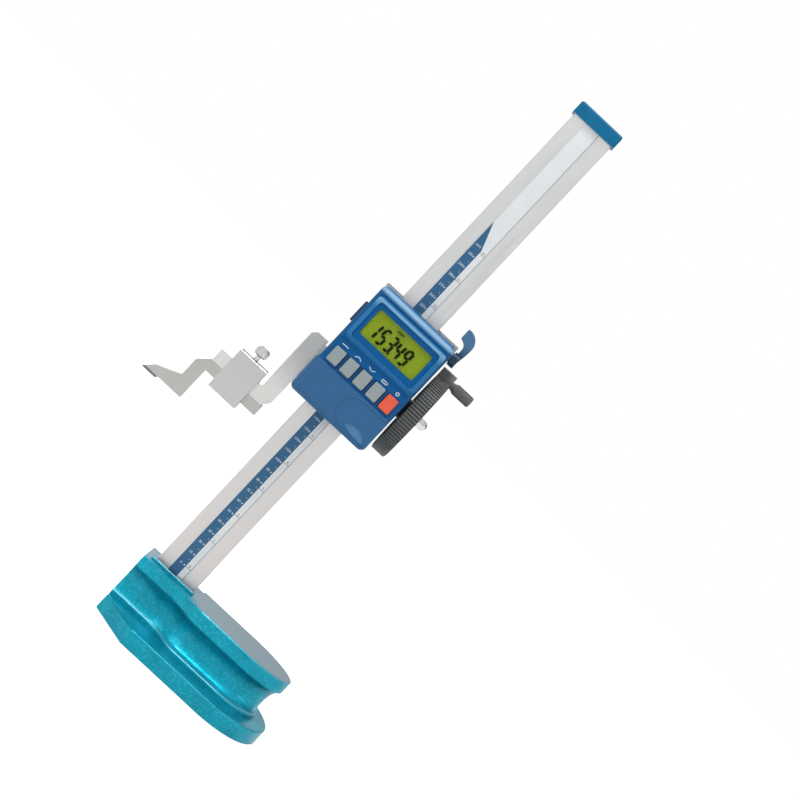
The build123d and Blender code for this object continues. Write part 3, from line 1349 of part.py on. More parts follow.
# Thumb screw with a fluted head
with BuildPart() as thumb_screw:
    rod(
        (clamp_middle_x, JAW_CENTER_Y, JAW_BOTTOM + JAW_HEIGHT + 0.1),
        (0, 0, 1),
        KNOB_TOP - JAW_BOTTOM - JAW_HEIGHT - 1.0,
        KNOB_SHANK_R,
    )
    with BuildSketch(Plane.XY.offset(KNOB_BOTTOM)):
        with Locations((clamp_middle_x, JAW_CENTER_Y)):
            Circle(KNOB_RADIUS)
            with PolarLocations(KNOB_RADIUS + 0.25, KNOB_FLUTES):
                Circle(0.6, mode=Mode.SUBTRACT)
    extrude(amount=KNOB_TOP - KNOB_BOTTOM)
    with BuildSketch(Plane(origin=(clamp_middle_x, JAW_CENTER_Y, 0), x_dir=(1, 0, 0), z_dir=(0, -1, 0))):
        with BuildLine():
            Polyline(
                (0, JAW_BOTTOM),
                (KNOB_SHANK_R + 0.01, JAW_BOTTOM),
                (KNOB_SHANK_R + 0.01, KNOB_BOTTOM),
                (KNOB_RADIUS - 1.0, KNOB_BOTTOM),
                (KNOB_RADIUS + 0.1, KNOB_BOTTOM + 1.0),
                (KNOB_RADIUS + 0.1, KNOB_TOP - 1.2),
                (KNOB_RADIUS - 1.2, KNOB_TOP),
                (0, KNOB_TOP),
                close=True,
            )
        make_face()
    revolve(axis=Axis((clamp_middle_x, JAW_CENTER_Y, 0), (0, 0, 1)), mode=Mode.INTERSECT)
thumb_screw.part.label = "thumb_screw"

pieces = [
    base_casting.part,
    column_clamp_plate.part,
    column_screws.part,
    column.part,
    scale_strip.part,
    rack.part,
    rack_screws.part,
    top_cap.part,
    slider_frame.part,
    gib_strip.part,
    gib_screws.part,
    shaft_bushes.part,
    pinion_shaft.part,
    shaft_end_screw.part,
    drive_pinion.part,
    pinion_pin.part,
    crank_wheel.part,
    wheel_washer.part,
    wheel_nut.part,
    handle_pin.part,
    crank_grip.part,
    lock_lever.part,
    lock_screw.part,
    display_housing.part,
    display_backplate.part,
    read_head.part,
    housing_screws.part,
    lcd_module.part,
    lcd_window.part,
    circuit_board.part,
    dome_switches.part,
    *buttons,
    data_connector.part,
    port_cover.part,
    battery_door.part,
    battery.part,
    battery_contact.part,
    measuring_jaw.part,
    jaw_screws.part,
    scriber.part,
    carbide_tip.part,
    scriber_clamp.part,
    thumb_screw.part,
]

os.makedirs("parts", exist_ok=True)
for piece in pieces:
    export_step(piece, f"parts/{piece.label}.step")
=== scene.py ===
"""Finishes, printed marks, display and stage for the digital height gauge."""

import math

import bmesh
import bpy
from mathutils import Matrix, Vector


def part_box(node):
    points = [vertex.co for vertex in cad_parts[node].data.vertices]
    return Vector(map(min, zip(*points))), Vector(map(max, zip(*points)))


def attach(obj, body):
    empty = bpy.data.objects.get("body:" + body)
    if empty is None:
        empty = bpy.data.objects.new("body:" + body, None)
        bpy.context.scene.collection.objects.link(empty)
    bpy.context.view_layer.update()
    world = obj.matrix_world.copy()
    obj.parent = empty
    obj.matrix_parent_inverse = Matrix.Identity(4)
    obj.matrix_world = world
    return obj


bl_info = {
    "name": "Digital height gauge",
    "version": (1, 0, 0),
    "blender": (4, 5, 0),
    "location": "3D View > Sidebar > Height gauge",
    "description": "Finishes, printed scale, display and stage of a digital height gauge",
    "category": "Object",
}

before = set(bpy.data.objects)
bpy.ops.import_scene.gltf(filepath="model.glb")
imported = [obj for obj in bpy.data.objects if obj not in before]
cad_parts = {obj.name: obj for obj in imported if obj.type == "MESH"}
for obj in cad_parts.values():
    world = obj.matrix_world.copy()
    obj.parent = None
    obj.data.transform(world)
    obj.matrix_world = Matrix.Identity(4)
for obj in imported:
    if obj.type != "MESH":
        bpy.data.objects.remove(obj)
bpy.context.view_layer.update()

MM = 0.001


def mm(*values):
    """Millimetres as metres."""
    return tuple(value * MM for value in values)


# Levels and limits that the finishes follow, in the row's frame

# Base casting and clamp plate, with the levels of their painted shade and painted highlights
GROUND_FROM = 46.5 * MM
BLOCK_END = 24 * MM
COVE = mm(17.5, 38.4)
COVE_UNDER_RIM = mm(29, 35.5)
COVE_FOOT = mm(19, 27)
FLANGE = mm(9, 17)
PLATE_CHAMFER = mm(49.2, 49.3)
TABLE_EDGE = mm(47.9, 48.8)
FLANGE_EDGE = mm(11.6, 12.4)
LIP_CREST = mm(15.3, 16.7)
BRIGHT_EDGES_FROM = 20 * MM

# Metals and lever, from the level where a tone starts to the level where it ends; the column's
# tone is painted light and the jaw's painted shade
COLUMN_RISE = mm(80, 320)
JAW_RISE = mm(196, 226)
LEVER_RISE = mm(299, 309)

# Housing: each rectangle has its left, right, low and high side
BEZEL_OUTSIDE, BEZEL_OUTER_RADIUS = mm(-28.7, 34.7, 257.0, 294.9), 3.5 * MM
BEZEL_INSIDE, BEZEL_INNER_RADIUS = mm(-25.6, 31.2, 259.4, 291.4), 3.0 * MM
BUTTON_PANEL = mm(-29.3, 33.6, 233.9, 256.3)
BUTTON_ROW = mm(-26.5, 31.2, 235.2, 248.9)
FRONT_FROM = -20.9 * MM
SLAB_TOP = 233.9 * MM
BEZEL_LIT = mm(286, 292.6)
BEZEL_LIT_END = 293.7 * MM
BROW_CREST = 299.4 * MM
BROW_REACH = mm(0.3, 2.6)
BUTTON_MIDDLE = 2.35 * MM
BUTTON_PITCH = 12.33 * MM
BUTTON_GAP = (0.39, 0.455)  # in shares of the pitch, from a button's middle
DOOR_RECESS = -22.75 * MM

# Wheel: its axis in Y and Z, and its ribs from root to crest
WHEEL_AXIS = mm(23, 245)
WHEEL_RIBS = mm(35.1, 35.8)

# Printed scale
INK = 0.02 * MM  # how far print stands proud of what carries it
PRINT_OVERLAP = 0.04 * MM
ZERO_MARK = 58.5 * MM
INCH = 25.4 * MM
DIVISIONS = 31
INCH_DIVISIONS = 13
BAND_EDGE = 1.1 * MM
BAND_TOP = 365.0 * MM
BAND_SLOPE = 21.0 / 7.6
EDGE_LINE = 5.75 * MM
DOTS_X = -0.4 * MM
HALF_DOT_SHARE = 0.55
TICKS_X = 3.5 * MM
TICK_WIDTH, TICK_HEIGHT = mm(4.9, 0.3)
NUMBERS_X = -3.4 * MM
UNIT_PLACE = mm(-3.2, 366.8)
INCH_NUMBER_RISE = 1.6 * MM

# Display
WINDOW_RADIUS = 1.9 * MM
LIT_FACE = mm(0.3, 0.15)  # its two faces, in front of the window's back
# Each figure with its left side in millimetres
FIGURES = (("1", -18.6), ("5", -11.0), ("3", -3.8), ("4", 3.1), ("9", 10.2))
FIGURES_FOOT = 267.1 * MM
FIGURE_WIDTH, FIGURE_STROKE = mm(6.1, 1.9)
POINT_ENDS = mm(2.4, 2.9)
POINT_HALF = 0.65 * MM
UNIT_LEFTS = mm(-2.4, 0.7)
UNIT_LOW, UNIT_HIGH = mm(283.0, 284.4)
UNIT_WIDTH, UNIT_STROKE = mm(2.2, 0.4)

# Symbols over the buttons
SYMBOL_Z = 251.7 * MM
SYMBOL_UNIT, SYMBOL_STROKE = mm(1.6, 0.55)
PANEL_SINK = 1.2 * MM  # how far the button panel lies behind the brow
RING_RADII = mm(0.85, 1.45)

# Stage
FLOOR_RADIUS = 6.0
FLOOR_GAP = 0.2 * MM
LAMPS_AIM = (0.0, 0.0, 0.24)
# Camera found by least squares from 35 points measured in the photograph
CAMERA_YAW, CAMERA_PITCH, CAMERA_ROLL = 0.025918, -0.0079343, 0.754155
CAMERA_PLACE = (0.0151967, -1.24605, 0.319125)
CAMERA_LENS = 79.116
CAMERA_SHIFT = (-0.0938801, -0.058)


# Building blocks for node trees


def paint(red, green, blue):
    """A colour given as it shows on screen, as the linear values that a shader takes."""
    channels = []
    for value in (red, green, blue):
        share = value / 255
        channels.append(share / 12.92 if share <= 0.04045 else ((share + 0.055) / 1.055) ** 2.4)
    return (*channels, 1.0)


def wire(tree, kind, inputs=None, **settings):
    """Adds a node, sets its options, and links or sets each named input."""
    made = tree.nodes.new(kind)
    for key, value in settings.items():
        setattr(made, key, value)
    for key, value in (inputs or {}).items():
        socket = made.inputs[key]
        if isinstance(value, bpy.types.NodeSocket):
            tree.links.new(value, socket)
        else:
            socket.default_value = value
    return made


def calc(tree, operation, first, second=0.0):
    """The result of one sum on two values or sockets."""
    return wire(tree, "ShaderNodeMath", {0: first, 1: second}, operation=operation).outputs[0]


def product(tree, first, *others):
    """Values multiplied together, or for masks, one where all of them are one."""
    for other in others:
        first = calc(tree, "MULTIPLY", first, other)
    return first


def between(tree, value, low, high):
    """One where a value lies between two limits, and nought elsewhere."""
    above = calc(tree, "GREATER_THAN", value, low)
    return product(tree, above, calc(tree, "LESS_THAN", value, high))


def blend(tree, share, first, second, kind="MIX"):
    """Two colours mixed by a share."""
    inputs = {0: share, 6: first, 7: second}
    return wire(tree, "ShaderNodeMix", inputs, data_type="RGBA", blend_type=kind).outputs[2]


def span(tree, value, low, high, start, end):
    """A value carried from one range to another, and held at its ends."""
    inputs = {"Value": value, "From Min": low, "From Max": high, "To Min": start, "To Max": end}
    return wire(tree, "ShaderNodeMapRange", inputs).outputs["Result"]


def place(tree, axis=None):
    """Object coordinates in metres, or one of them."""
    coordinates = wire(tree, "ShaderNodeTexCoord").outputs["Object"]
    if axis is None:
        return coordinates
    return wire(tree, "ShaderNodeSeparateXYZ", {0: coordinates}).outputs[axis]


def upward(tree):
    """How far a face looks up, from minus one to one."""
    normal = wire(tree, "ShaderNodeTexCoord").outputs["Normal"]
    return wire(tree, "ShaderNodeSeparateXYZ", {0: normal}).outputs[2]


def grey(tree, level):
    """A grey of a given level."""
    return wire(tree, "ShaderNodeCombineColor", {0: level, 1: level, 2: level}).outputs[0]


def rise(tree, levels, first, last):
    """A colour that turns into another between two heights."""
    return blend(tree, span(tree, place(tree, 2), *levels, 0.0, 1.0), first, last)


def area(tree, x, z, sides):
    """One inside a rectangle."""
    left, right, low, high = sides
    return product(tree, between(tree, x, left, right), between(tree, z, low, high))


def rounded(tree, x, z, sides, radius):
    """One inside a rectangle with round corners."""
    left, right, low, high = sides
    away = []
    for value, start, end in ((x, left, right), (z, low, high)):
        off = calc(tree, "ABSOLUTE", calc(tree, "SUBTRACT", value, (start + end) / 2))
        off = calc(tree, "SUBTRACT", off, (end - start) / 2 - radius)
        off = calc(tree, "MAXIMUM", off, 0.0)
        away.append(product(tree, off, off))
    return calc(tree, "LESS_THAN", calc(tree, "SQRT", calc(tree, "ADD", *away)), radius)


FLOAT, COLOR, VECTOR = "NodeSocketFloat", "NodeSocketColor", "NodeSocketVector"


def new_group(name, inputs, outputs):
    """A shader node group with named sockets, and its input and output nodes."""
    tree = bpy.data.node_groups.new(name, "ShaderNodeTree")
    for label, kind, default in inputs:
        socket = tree.interface.new_socket(label, in_out="INPUT", socket_type=kind)
        socket.default_value = default
    for label, kind in outputs:
        tree.interface.new_socket(label, in_out="OUTPUT", socket_type=kind)
    return tree, tree.nodes.new("NodeGroupInput").outputs, tree.nodes.new("NodeGroupOutput").inputs


def vary(tree, given, result, noise):
    """Lets a noise change the colour and the roughness that a group was given."""
    centred = span(tree, noise, 0.3, 0.7, -1.0, 1.0)
    tone = calc(tree, "ADD", product(tree, centred, given["Tone"]), 1.0)
    spread = product(tree, centred, given["Spread"])
    tree.links.new(blend(tree, 1.0, given["Color"], grey(tree, tone), "MULTIPLY"), result["Color"])
    tree.links.new(calc(tree, "ADD", given["Roughness"], spread), result["Roughness"])
    tree.links.new(noise, result["Height"])


def build_mottle():
    """Slight unevenness of colour and gloss, as every moulded or painted surface has."""
    tree, given, result = new_group(
        "Mottle",
        [
            ("Color", COLOR, (0.5, 0.5, 0.5, 1)),
            ("Scale", FLOAT, 200.0),
            ("Tone", FLOAT, 0.08),
            ("Roughness", FLOAT, 0.5),
            ("Spread", FLOAT, 0.06),
        ],
        [("Color", COLOR), ("Roughness", FLOAT), ("Height", FLOAT)],
    )
    inputs = {"Vector": place(tree), "Scale": given["Scale"], "Detail": 5.0}
    vary(tree, given, result, wire(tree, "ShaderNodeTexNoise", inputs).outputs[0])
    return tree


def build_grain():
    """Fine parallel lines that grinding or brushing leaves, long along one axis."""
    tree, given, result = new_group(
        "Grain",
        [
            ("Color", COLOR, (0.5, 0.5, 0.5, 1)),
            ("Stretch", VECTOR, (3000.0, 3000.0, 60.0)),
            ("Tone", FLOAT, 0.1),
            ("Roughness", FLOAT, 0.35),
            ("Spread", FLOAT, 0.08),
        ],
        [("Color", COLOR), ("Roughness", FLOAT), ("Height", FLOAT)],
    )
    inputs = {0: place(tree), 1: given["Stretch"]}
    stretched = wire(tree, "ShaderNodeVectorMath", inputs, operation="MULTIPLY").outputs[0]
    inputs = {"Vector": stretched, "Scale": 1.0, "Detail": 3.0}
    vary(tree, given, result, wire(tree, "ShaderNodeTexNoise", inputs).outputs[0])
    return tree


def build_flake():
    """Hammered enamel: shallow dimples, and flakes whose glint is painted in as a brighter colour.
    """
    tree, given, result = new_group(
        "Flake",
        [
            ("Color", COLOR, (0.02, 0.4, 0.5, 1)),
            ("Flake Color", COLOR, (0.4, 0.8, 0.9, 1)),
            ("Scale", FLOAT, 700.0),
            ("Amount", FLOAT, 0.4),
        ],
        [("Color", COLOR), ("Height", FLOAT)],
    )
    cells = wire(tree, "ShaderNodeTexVoronoi", {"Vector": place(tree), "Scale": given["Scale"]})
    chance = wire(tree, "ShaderNodeSeparateColor", {0: cells.outputs["Color"]}).outputs[0]
    # Painted glints: some flakes take a brighter colour
    bright = product(tree, span(tree, chance, 0.7, 1.0, 0.0, 1.0), given["Amount"])
    inputs = {"Vector": place(tree), "Scale": 60.0, "Detail": 4.0}
    wash = wire(tree, "ShaderNodeTexNoise", inputs).outputs[0]
    tone = span(tree, wash, 0.3, 0.7, 0.85, 1.15)
    washed = blend(tree, 1.0, given["Color"], grey(tree, tone), "MULTIPLY")
    tree.links.new(blend(tree, bright, washed, given["Flake Color"]), result["Color"])
    tree.links.new(cells.outputs["Distance"], result["Height"])
    return tree


groups = {"Mottle": build_mottle(), "Grain": build_grain(), "Flake": build_flake()}


class Finish:
    """A material under construction: its tree, its shader and short ways to feed it."""

    def __init__(self, name, **values):
        self.material = bpy.data.materials.new(name)
        self.material.use_nodes = True
        self.tree = self.material.node_tree
        self.tree.nodes.clear()
        self.shader = wire(self.tree, "ShaderNodeBsdfPrincipled")
        wire(self.tree, "ShaderNodeOutputMaterial", {0: self.shader.outputs[0]})
        for key, value in values.items():
            self.shader.inputs[key.replace("_", " ")].default_value = value

    def effect(self, name, **values):
        """One of the shared node groups, with its own values."""
        inputs = {key.replace("_", " "): value for key, value in values.items()}
        return wire(self.tree, "ShaderNodeGroup", inputs, node_tree=groups[name]).outputs

    def feed(self, **links):
        """Links values that change over the surface to the shader."""
        for key, value in links.items():
            self.tree.links.new(value, self.shader.inputs[key.replace("_", " ")])

    def coat(self, name, **values):
        """Takes colour and roughness from a shared effect, and gives its height."""
        made = self.effect(name, **values)
        self.feed(Base_Color=made["Color"], Roughness=made["Roughness"])
        return made["Height"]

    def bump(self, height, strength, depth):
        """A Bump node from a height into the shader's normal."""
        inputs = {"Height": height, "Strength": strength, "Distance": depth}
        self.feed(Normal=wire(self.tree, "ShaderNodeBump", inputs).outputs[0])


def moulded(name, color, roughness=0.45, tone=0.06, scale=250.0, bump=0.15, **values):
    """A moulded plastic or a plain coat of paint, its colour plain or a function of the tree."""
    finish = Finish(name, **values)
    shade = color(finish.tree) if callable(color) else color
    finish.coat("Mottle", Color=shade, Scale=scale, Tone=tone, Roughness=roughness)
    if bump:
        finish.bump(finish.effect("Mottle", Scale=4000.0)["Height"], bump, 0.05 * MM)
    return finish.material


def ground(name, color, stretch, roughness=0.32, tone=0.08, bump=0.1):
    """Ground or brushed metal, its lines long along the axis with the small stretch."""
    finish = Finish(name, Metallic=1.0)
    shade = color(finish.tree) if callable(color) else color
    height = finish.coat("Grain", Color=shade, Stretch=stretch, Tone=tone, Roughness=roughness)
    finish.bump(height, bump, 0.02 * MM)
    return finish.material


def lit_face(name, colors):
    """The green face of the liquid crystal."""
    return moulded(name, tuple(colors.display), 0.6, 0.015, 60.0, 0.0, Specular_IOR_Level=0.1)


class GaugeColors(bpy.types.PropertyGroup):
    """Colours of the main finishes."""

    enamel: bpy.props.FloatVectorProperty(
        name="Enamel",
        description="Hammered enamel of the base",
        subtype="COLOR",
        size=4,
        default=paint(0, 164, 190),
    )
    housing: bpy.props.FloatVectorProperty(
        name="Housing",
        description="Moulding of the display housing",
        subtype="COLOR",
        size=4,
        default=paint(58, 112, 161),
    )
    field: bpy.props.FloatVectorProperty(
        name="Display field",
        description="Field round the display",
        subtype="COLOR",
        size=4,
        default=paint(0, 98, 164),
    )
    display: bpy.props.FloatVectorProperty(
        name="Display",
        description="Face of the liquid crystal",
        subtype="COLOR",
        size=4,
        default=paint(146, 172, 12),
    )
    steel: bpy.props.FloatVectorProperty(
        name="Steel",
        description="Satin steel of the slider and scriber",
        subtype="COLOR",
        size=4,
        default=paint(196, 195, 192),
    )


class GaugePrint(bpy.types.PropertyGroup):
    """Sizes of the printed scale and of the figures on the display."""

    pitch: bpy.props.FloatProperty(
        name="Pitch",
        description="From one numbered division to the next",
        subtype="DISTANCE",
        unit="LENGTH",
        default=10 * MM,
    )
    number_height: bpy.props.FloatProperty(
        name="Number height",
        description="Height of the numbers of the scale",
        subtype="DISTANCE",
        unit="LENGTH",
        default=1.9 * MM,
    )
    dot: bpy.props.FloatProperty(
        name="Dot",
        description="Width of a numbered division's dot",
        subtype="DISTANCE",
        unit="LENGTH",
        default=1.1 * MM,
    )
    digit_height: bpy.props.FloatProperty(
        name="Digit height",
        description="Height of a figure on the display",
        subtype="DISTANCE",
        unit="LENGTH",
        default=13.7 * MM,
    )
    slant: bpy.props.FloatProperty(
        name="Slant",
        description="Lean of the figures on the display",
        subtype="ANGLE",
        unit="ROTATION",
        default=math.radians(6),
    )


class GaugeStage(bpy.types.PropertyGroup):
    """Strength of the light on the stage."""

    key: bpy.props.FloatProperty(
        name="Key light",
        description="Power of the large lamp on the left",
        subtype="POWER",
        unit="POWER",
        default=13.5,
    )
    top: bpy.props.FloatProperty(
        name="Top light",
        description="Power of the lamp above",
        subtype="POWER",
        unit="POWER",
        default=9.0,
    )
    room: bpy.props.FloatProperty(
        name="Room light",
        description="Share of the white room that lights the object",
        subtype="FACTOR",
        default=0.24,
    )


# Meshes


def finished(name, mesh, material, body):
    """Links a mesh as a piece that rides on a body, with its material."""
    piece = bpy.data.objects.new(name, mesh)
    bpy.context.scene.collection.objects.link(piece)
    mesh.materials.clear()
    mesh.materials.append(material)
    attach(piece, body)


def mesh_of(shape, name):
    """Turns a bmesh into a mesh with its faces outwards."""
    bmesh.ops.remove_doubles(shape, verts=shape.verts, dist=0.0005 * MM)
    bmesh.ops.recalc_face_normals(shape, faces=shape.faces)
    mesh = bpy.data.meshes.new(name)
    shape.to_mesh(mesh)
    shape.free()
    return mesh


def slab(shape, outline, front, back):
    """A flat piece of print: an outline in X and Z between two planes of Y."""
    near = [shape.verts.new((x, front, z)) for x, z in outline]
    far = [shape.verts.new((x, back, z)) for x, z in outline]
    shape.faces.new(near)
    shape.faces.new(list(reversed(far)))
    for index in range(len(outline)):
        after = (index + 1) % len(outline)
        shape.faces.new((near[index], far[index], far[after], near[after]))


def stroke(shape, path, width, front, back):
    """A line of print of a given width along a path in X and Z, as one slab for each stretch."""
    half = width / 2
    for (x0, z0), (x1, z1) in zip(path, path[1:]):
        length = math.hypot(x1 - x0, z1 - z0)
        along = ((x1 - x0) / length * half, (z1 - z0) / length * half)
        across = (-along[1], along[0])
        outline = [
            (x0 - along[0] - across[0], z0 - along[1] - across[1]),
            (x1 + along[0] - across[0], z1 + along[1] - across[1]),
            (x1 + along[0] + across[0], z1 + along[1] + across[1]),
            (x0 - along[0] + across[0], z0 - along[1] + across[1]),
        ]
        slab(shape, outline, front, back)


def ring(shape, x, z, radii, front, back):
    """A ring of print, as slabs that only touch."""
    inner, outer = radii
    step = math.radians(30)
    for index in range(12):
        first, second = index * step, (index + 1) * step
        corners = [(inner, first), (outer, first), (outer, second), (inner, second)]
        outline = [(x + r * math.cos(a), z + r * math.sin(a)) for r, a in corners]
        slab(shape, outline, front, back)


def rounded_outline(left, right, low, high, radius):
    """A rectangle in X and Z with round corners."""
    outline = []
    for x, z, turn in (
        (right - radius, high - radius, 0),
        (left + radius, high - radius, 90),
        (left + radius, low + radius, 180),
        (right - radius, low + radius, 270),
    ):
        for step in range(7):
            angle = math.radians(turn + 15 * step)
            outline.append((x + radius * math.cos(angle), z + radius * math.sin(angle)))
    return outline


def lettering(shape, words, height, x, z, front):
    """Adds figures to a bmesh, upright on a plane of Y."""
    curve = bpy.data.curves.new(words, "FONT")
    curve.body = words
    curve.size = height / 0.7
    curve.align_x = "CENTER"
    curve.align_y = "CENTER"
    curve.extrude = INK
    curve.resolution_u = 3
    holder = bpy.data.objects.new(words, curve)
    bpy.context.scene.collection.objects.link(holder)
    depsgraph = bpy.context.evaluated_depsgraph_get()
    mesh = bpy.data.meshes.new_from_object(holder.evaluated_get(depsgraph))
    turn = Matrix.Rotation(math.radians(90), 4, "X")
    mesh.transform(Matrix.Translation((x, front, z)) @ turn)
    shape.from_mesh(mesh)
    bpy.data.objects.remove(holder)
    bpy.data.meshes.remove(mesh)


def build_marks_tree():
    """Geometry Nodes: a row of like marks up the scale, round or square."""
    tree = bpy.data.node_groups.new("Row of marks", "GeometryNodeTree")
    sockets = [
        ("Count", "NodeSocketInt", 10),
        ("Pitch", FLOAT, 10 * MM),
        ("X", FLOAT, 0.0),
        ("Y", FLOAT, 0.0),
        ("Z", FLOAT, 0.0),
        ("Width", FLOAT, MM),
        ("Height", FLOAT, MM),
        ("Thickness", FLOAT, INK),
        ("Round", "NodeSocketBool", False),
    ]
    for label, kind, default in sockets:
        socket = tree.interface.new_socket(label, in_out="INPUT", socket_type=kind)
        socket.default_value = default
    tree.interface.new_socket("Material", in_out="INPUT", socket_type="NodeSocketMaterial")
    tree.interface.new_socket("Geometry", in_out="OUTPUT", socket_type="NodeSocketGeometry")
    given = tree.nodes.new("NodeGroupInput").outputs
    inputs = {0: given["X"], 1: given["Y"], 2: given["Z"]}
    start = wire(tree, "ShaderNodeCombineXYZ", inputs).outputs[0]
    step = wire(tree, "ShaderNodeCombineXYZ", {2: given["Pitch"]}).outputs[0]
    inputs = {"Count": given["Count"], "Start Location": start, "Offset": step}
    line = wire(tree, "GeometryNodeMeshLine", inputs).outputs[0]
    inputs = {0: given["Width"], 1: given["Thickness"], 2: given["Height"]}
    size = wire(tree, "ShaderNodeCombineXYZ", inputs).outputs[0]
    square = wire(tree, "GeometryNodeMeshCube", {"Size": size}).outputs[0]
    radius = product(tree, given["Width"], 0.5)
    inputs = {"Vertices": 16, "Radius": radius, "Depth": given["Thickness"]}
    disc = wire(tree, "GeometryNodeMeshCylinder", inputs).outputs[0]
    inputs = {"Geometry": disc, "Rotation": (math.radians(90), 0, 0)}
    turned = wire(tree, "GeometryNodeTransform", inputs).outputs[0]
    inputs = {"Switch": given["Round"], "False": square, "True": turned}
    mark = wire(tree, "GeometryNodeSwitch", inputs, input_type="GEOMETRY").outputs[0]
    inputs = {"Points": line, "Instance": mark}
    row = wire(tree, "GeometryNodeInstanceOnPoints", inputs).outputs[0]
    real = wire(tree, "GeometryNodeRealizeInstances", {0: row}).outputs[0]
    inputs = {"Geometry": real, "Material": given["Material"]}
    done = wire(tree, "GeometryNodeSetMaterial", inputs).outputs[0]
    wire(tree, "NodeGroupOutput", {0: done})
    return tree


def row_of_marks(name, tree, material, values):
    """Runs the tree with its own values and keeps the result as a plain mesh."""
    holder = bpy.data.objects.new(name + "_holder", bpy.data.meshes.new(name))
    bpy.context.scene.collection.objects.link(holder)
    modifier = holder.modifiers.new("Marks", "NODES")
    modifier.node_group = tree
    values["Material"] = material
    for item in tree.interface.items_tree:
        if item.in_out == "INPUT" and item.name in values:
            modifier[item.identifier] = values[item.name]
    depsgraph = bpy.context.evaluated_depsgraph_get()
    mesh = bpy.data.meshes.new_from_object(holder.evaluated_get(depsgraph))
    bpy.data.objects.remove(holder)
    finished(name, mesh, material, "stand")


def need(condition, words):
    """Stops the run with a plain message."""
    if not condition:
        raise RuntimeError(words)


def dress(material, *names):
    """Gives CAD nodes a material."""
    for name in names:
        need(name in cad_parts, f"{name} is not a node of the frame")
        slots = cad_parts[name].data.materials
        for index in range(len(slots)):
            slots[index] = material


# Colours that change over a piece


def enamel_depth(tree, z):
    """Painted shade under the rim and on the plate's chamfer, painted light at the cove's foot,
    and darker lower on the flange.
    """
    # Painted shade under the rim and a painted highlight at the cove's foot
    under_rim = span(tree, z, *COVE_UNDER_RIM, 1.0, 0.58)
    foot = span(tree, z, *COVE_FOOT, 1.2, 1.0)
    inputs = {0: between(tree, z, *COVE), 2: 1.0, 3: product(tree, under_rim, foot)}
    depth = wire(tree, "ShaderNodeMix", inputs).outputs[0]
    # Painted shade on the clamp plate's chamfer
    chamfer = span(tree, z, *PLATE_CHAMFER, 1.0, 0.4)
    flange = span(tree, z, *FLANGE, 0.9, 1.0)
    return grey(tree, product(tree, depth, chamfer, flange))


def enamel_edges(tree, x, z):
    """Painted highlights along the table's and the flange's edges and on the lip's crest."""
    up = upward(tree)
    table = span(tree, z, *TABLE_EDGE, 0.0, 1.0)
    edge = calc(tree, "MAXIMUM", table, between(tree, z, *FLANGE_EDGE))
    upright = calc(tree, "LESS_THAN", up, 0.5)
    edge = product(tree, edge, upright, calc(tree, "GREATER_THAN", x, BRIGHT_EDGES_FROM))
    crest = product(tree, between(tree, z, *LIP_CREST), between(tree, up, 0.4, 0.93), 0.6)
    return product(tree, calc(tree, "MAXIMUM", edge, crest), 0.9)


def clamp_tone(tree):
    """The clamp's faces, with its top in shade."""
    top = calc(tree, "GREATER_THAN", upward(tree), 0.9)
    return blend(tree, top, paint(209, 207, 207), paint(120, 120, 122))


def housing_tone(tree, colors):
    """Blues of the housing's slab, bezel, field, button panel and brow, with painted highlight and
    shade.
    """
    x, z = place(tree, 0), place(tree, 2)
    forward = between(tree, place(tree, 1), -1.0, FRONT_FROM)
    over_slab = calc(tree, "GREATER_THAN", z, SLAB_TOP)
    tone = blend(tree, over_slab, tuple(colors.housing), paint(16, 96, 156))

    # Painted highlight on the bezel frame's upper part, and painted shade along its foot
    bezel = product(tree, rounded(tree, x, z, BEZEL_OUTSIDE, BEZEL_OUTER_RADIUS), forward)
    lit = span(tree, z, *BEZEL_LIT, 0.0, 1.0)
    lit = product(tree, lit, calc(tree, "LESS_THAN", z, BEZEL_LIT_END))
    frame_tone = blend(tree, lit, paint(48, 126, 184), paint(132, 188, 228))
    foot = calc(tree, "LESS_THAN", z, BEZEL_INSIDE[2])
    frame_tone = blend(tree, foot, frame_tone, paint(34, 108, 168))
    tone = blend(tree, bezel, tone, frame_tone)

    # Painted highlight along the brow's rounded top
    off_crest = calc(tree, "ABSOLUTE", calc(tree, "SUBTRACT", z, BROW_CREST))
    brow_highlight = span(tree, off_crest, *BROW_REACH, 0.95, 0.0)
    tone = blend(tree, brow_highlight, tone, paint(160, 206, 240))

    field = rounded(tree, x, z, BEZEL_INSIDE, BEZEL_INNER_RADIUS)
    field = calc(tree, "MAXIMUM", field, area(tree, x, z, BUTTON_PANEL))
    tone = blend(tree, product(tree, field, forward), tone, tuple(colors.field))

    # Shade in the gaps beside the buttons
    steps = calc(tree, "DIVIDE", calc(tree, "SUBTRACT", x, BUTTON_MIDDLE), BUTTON_PITCH)
    beside = calc(tree, "ABSOLUTE", calc(tree, "SUBTRACT", steps, calc(tree, "ROUND", steps)))
    gap = product(tree, between(tree, beside, *BUTTON_GAP), area(tree, x, z, BUTTON_ROW), forward)
    return blend(tree, gap, tone, paint(4, 44, 84))


def wheel_tone(tree):
    """The wheel's dark grey, with painted highlights on its rib crests, by the distance from its
    axis.
    """
    across = calc(tree, "SUBTRACT", place(tree, 1), WHEEL_AXIS[0])
    above = calc(tree, "SUBTRACT", place(tree, 2), WHEEL_AXIS[1])
    squares = calc(tree, "ADD", product(tree, across, across), product(tree, above, above))
    # Painted highlight on each rib's crest
    crest = span(tree, calc(tree, "SQRT", squares), *WHEEL_RIBS, 0.0, 1.0)
    return blend(tree, crest, paint(68, 70, 71), paint(117, 119, 119))


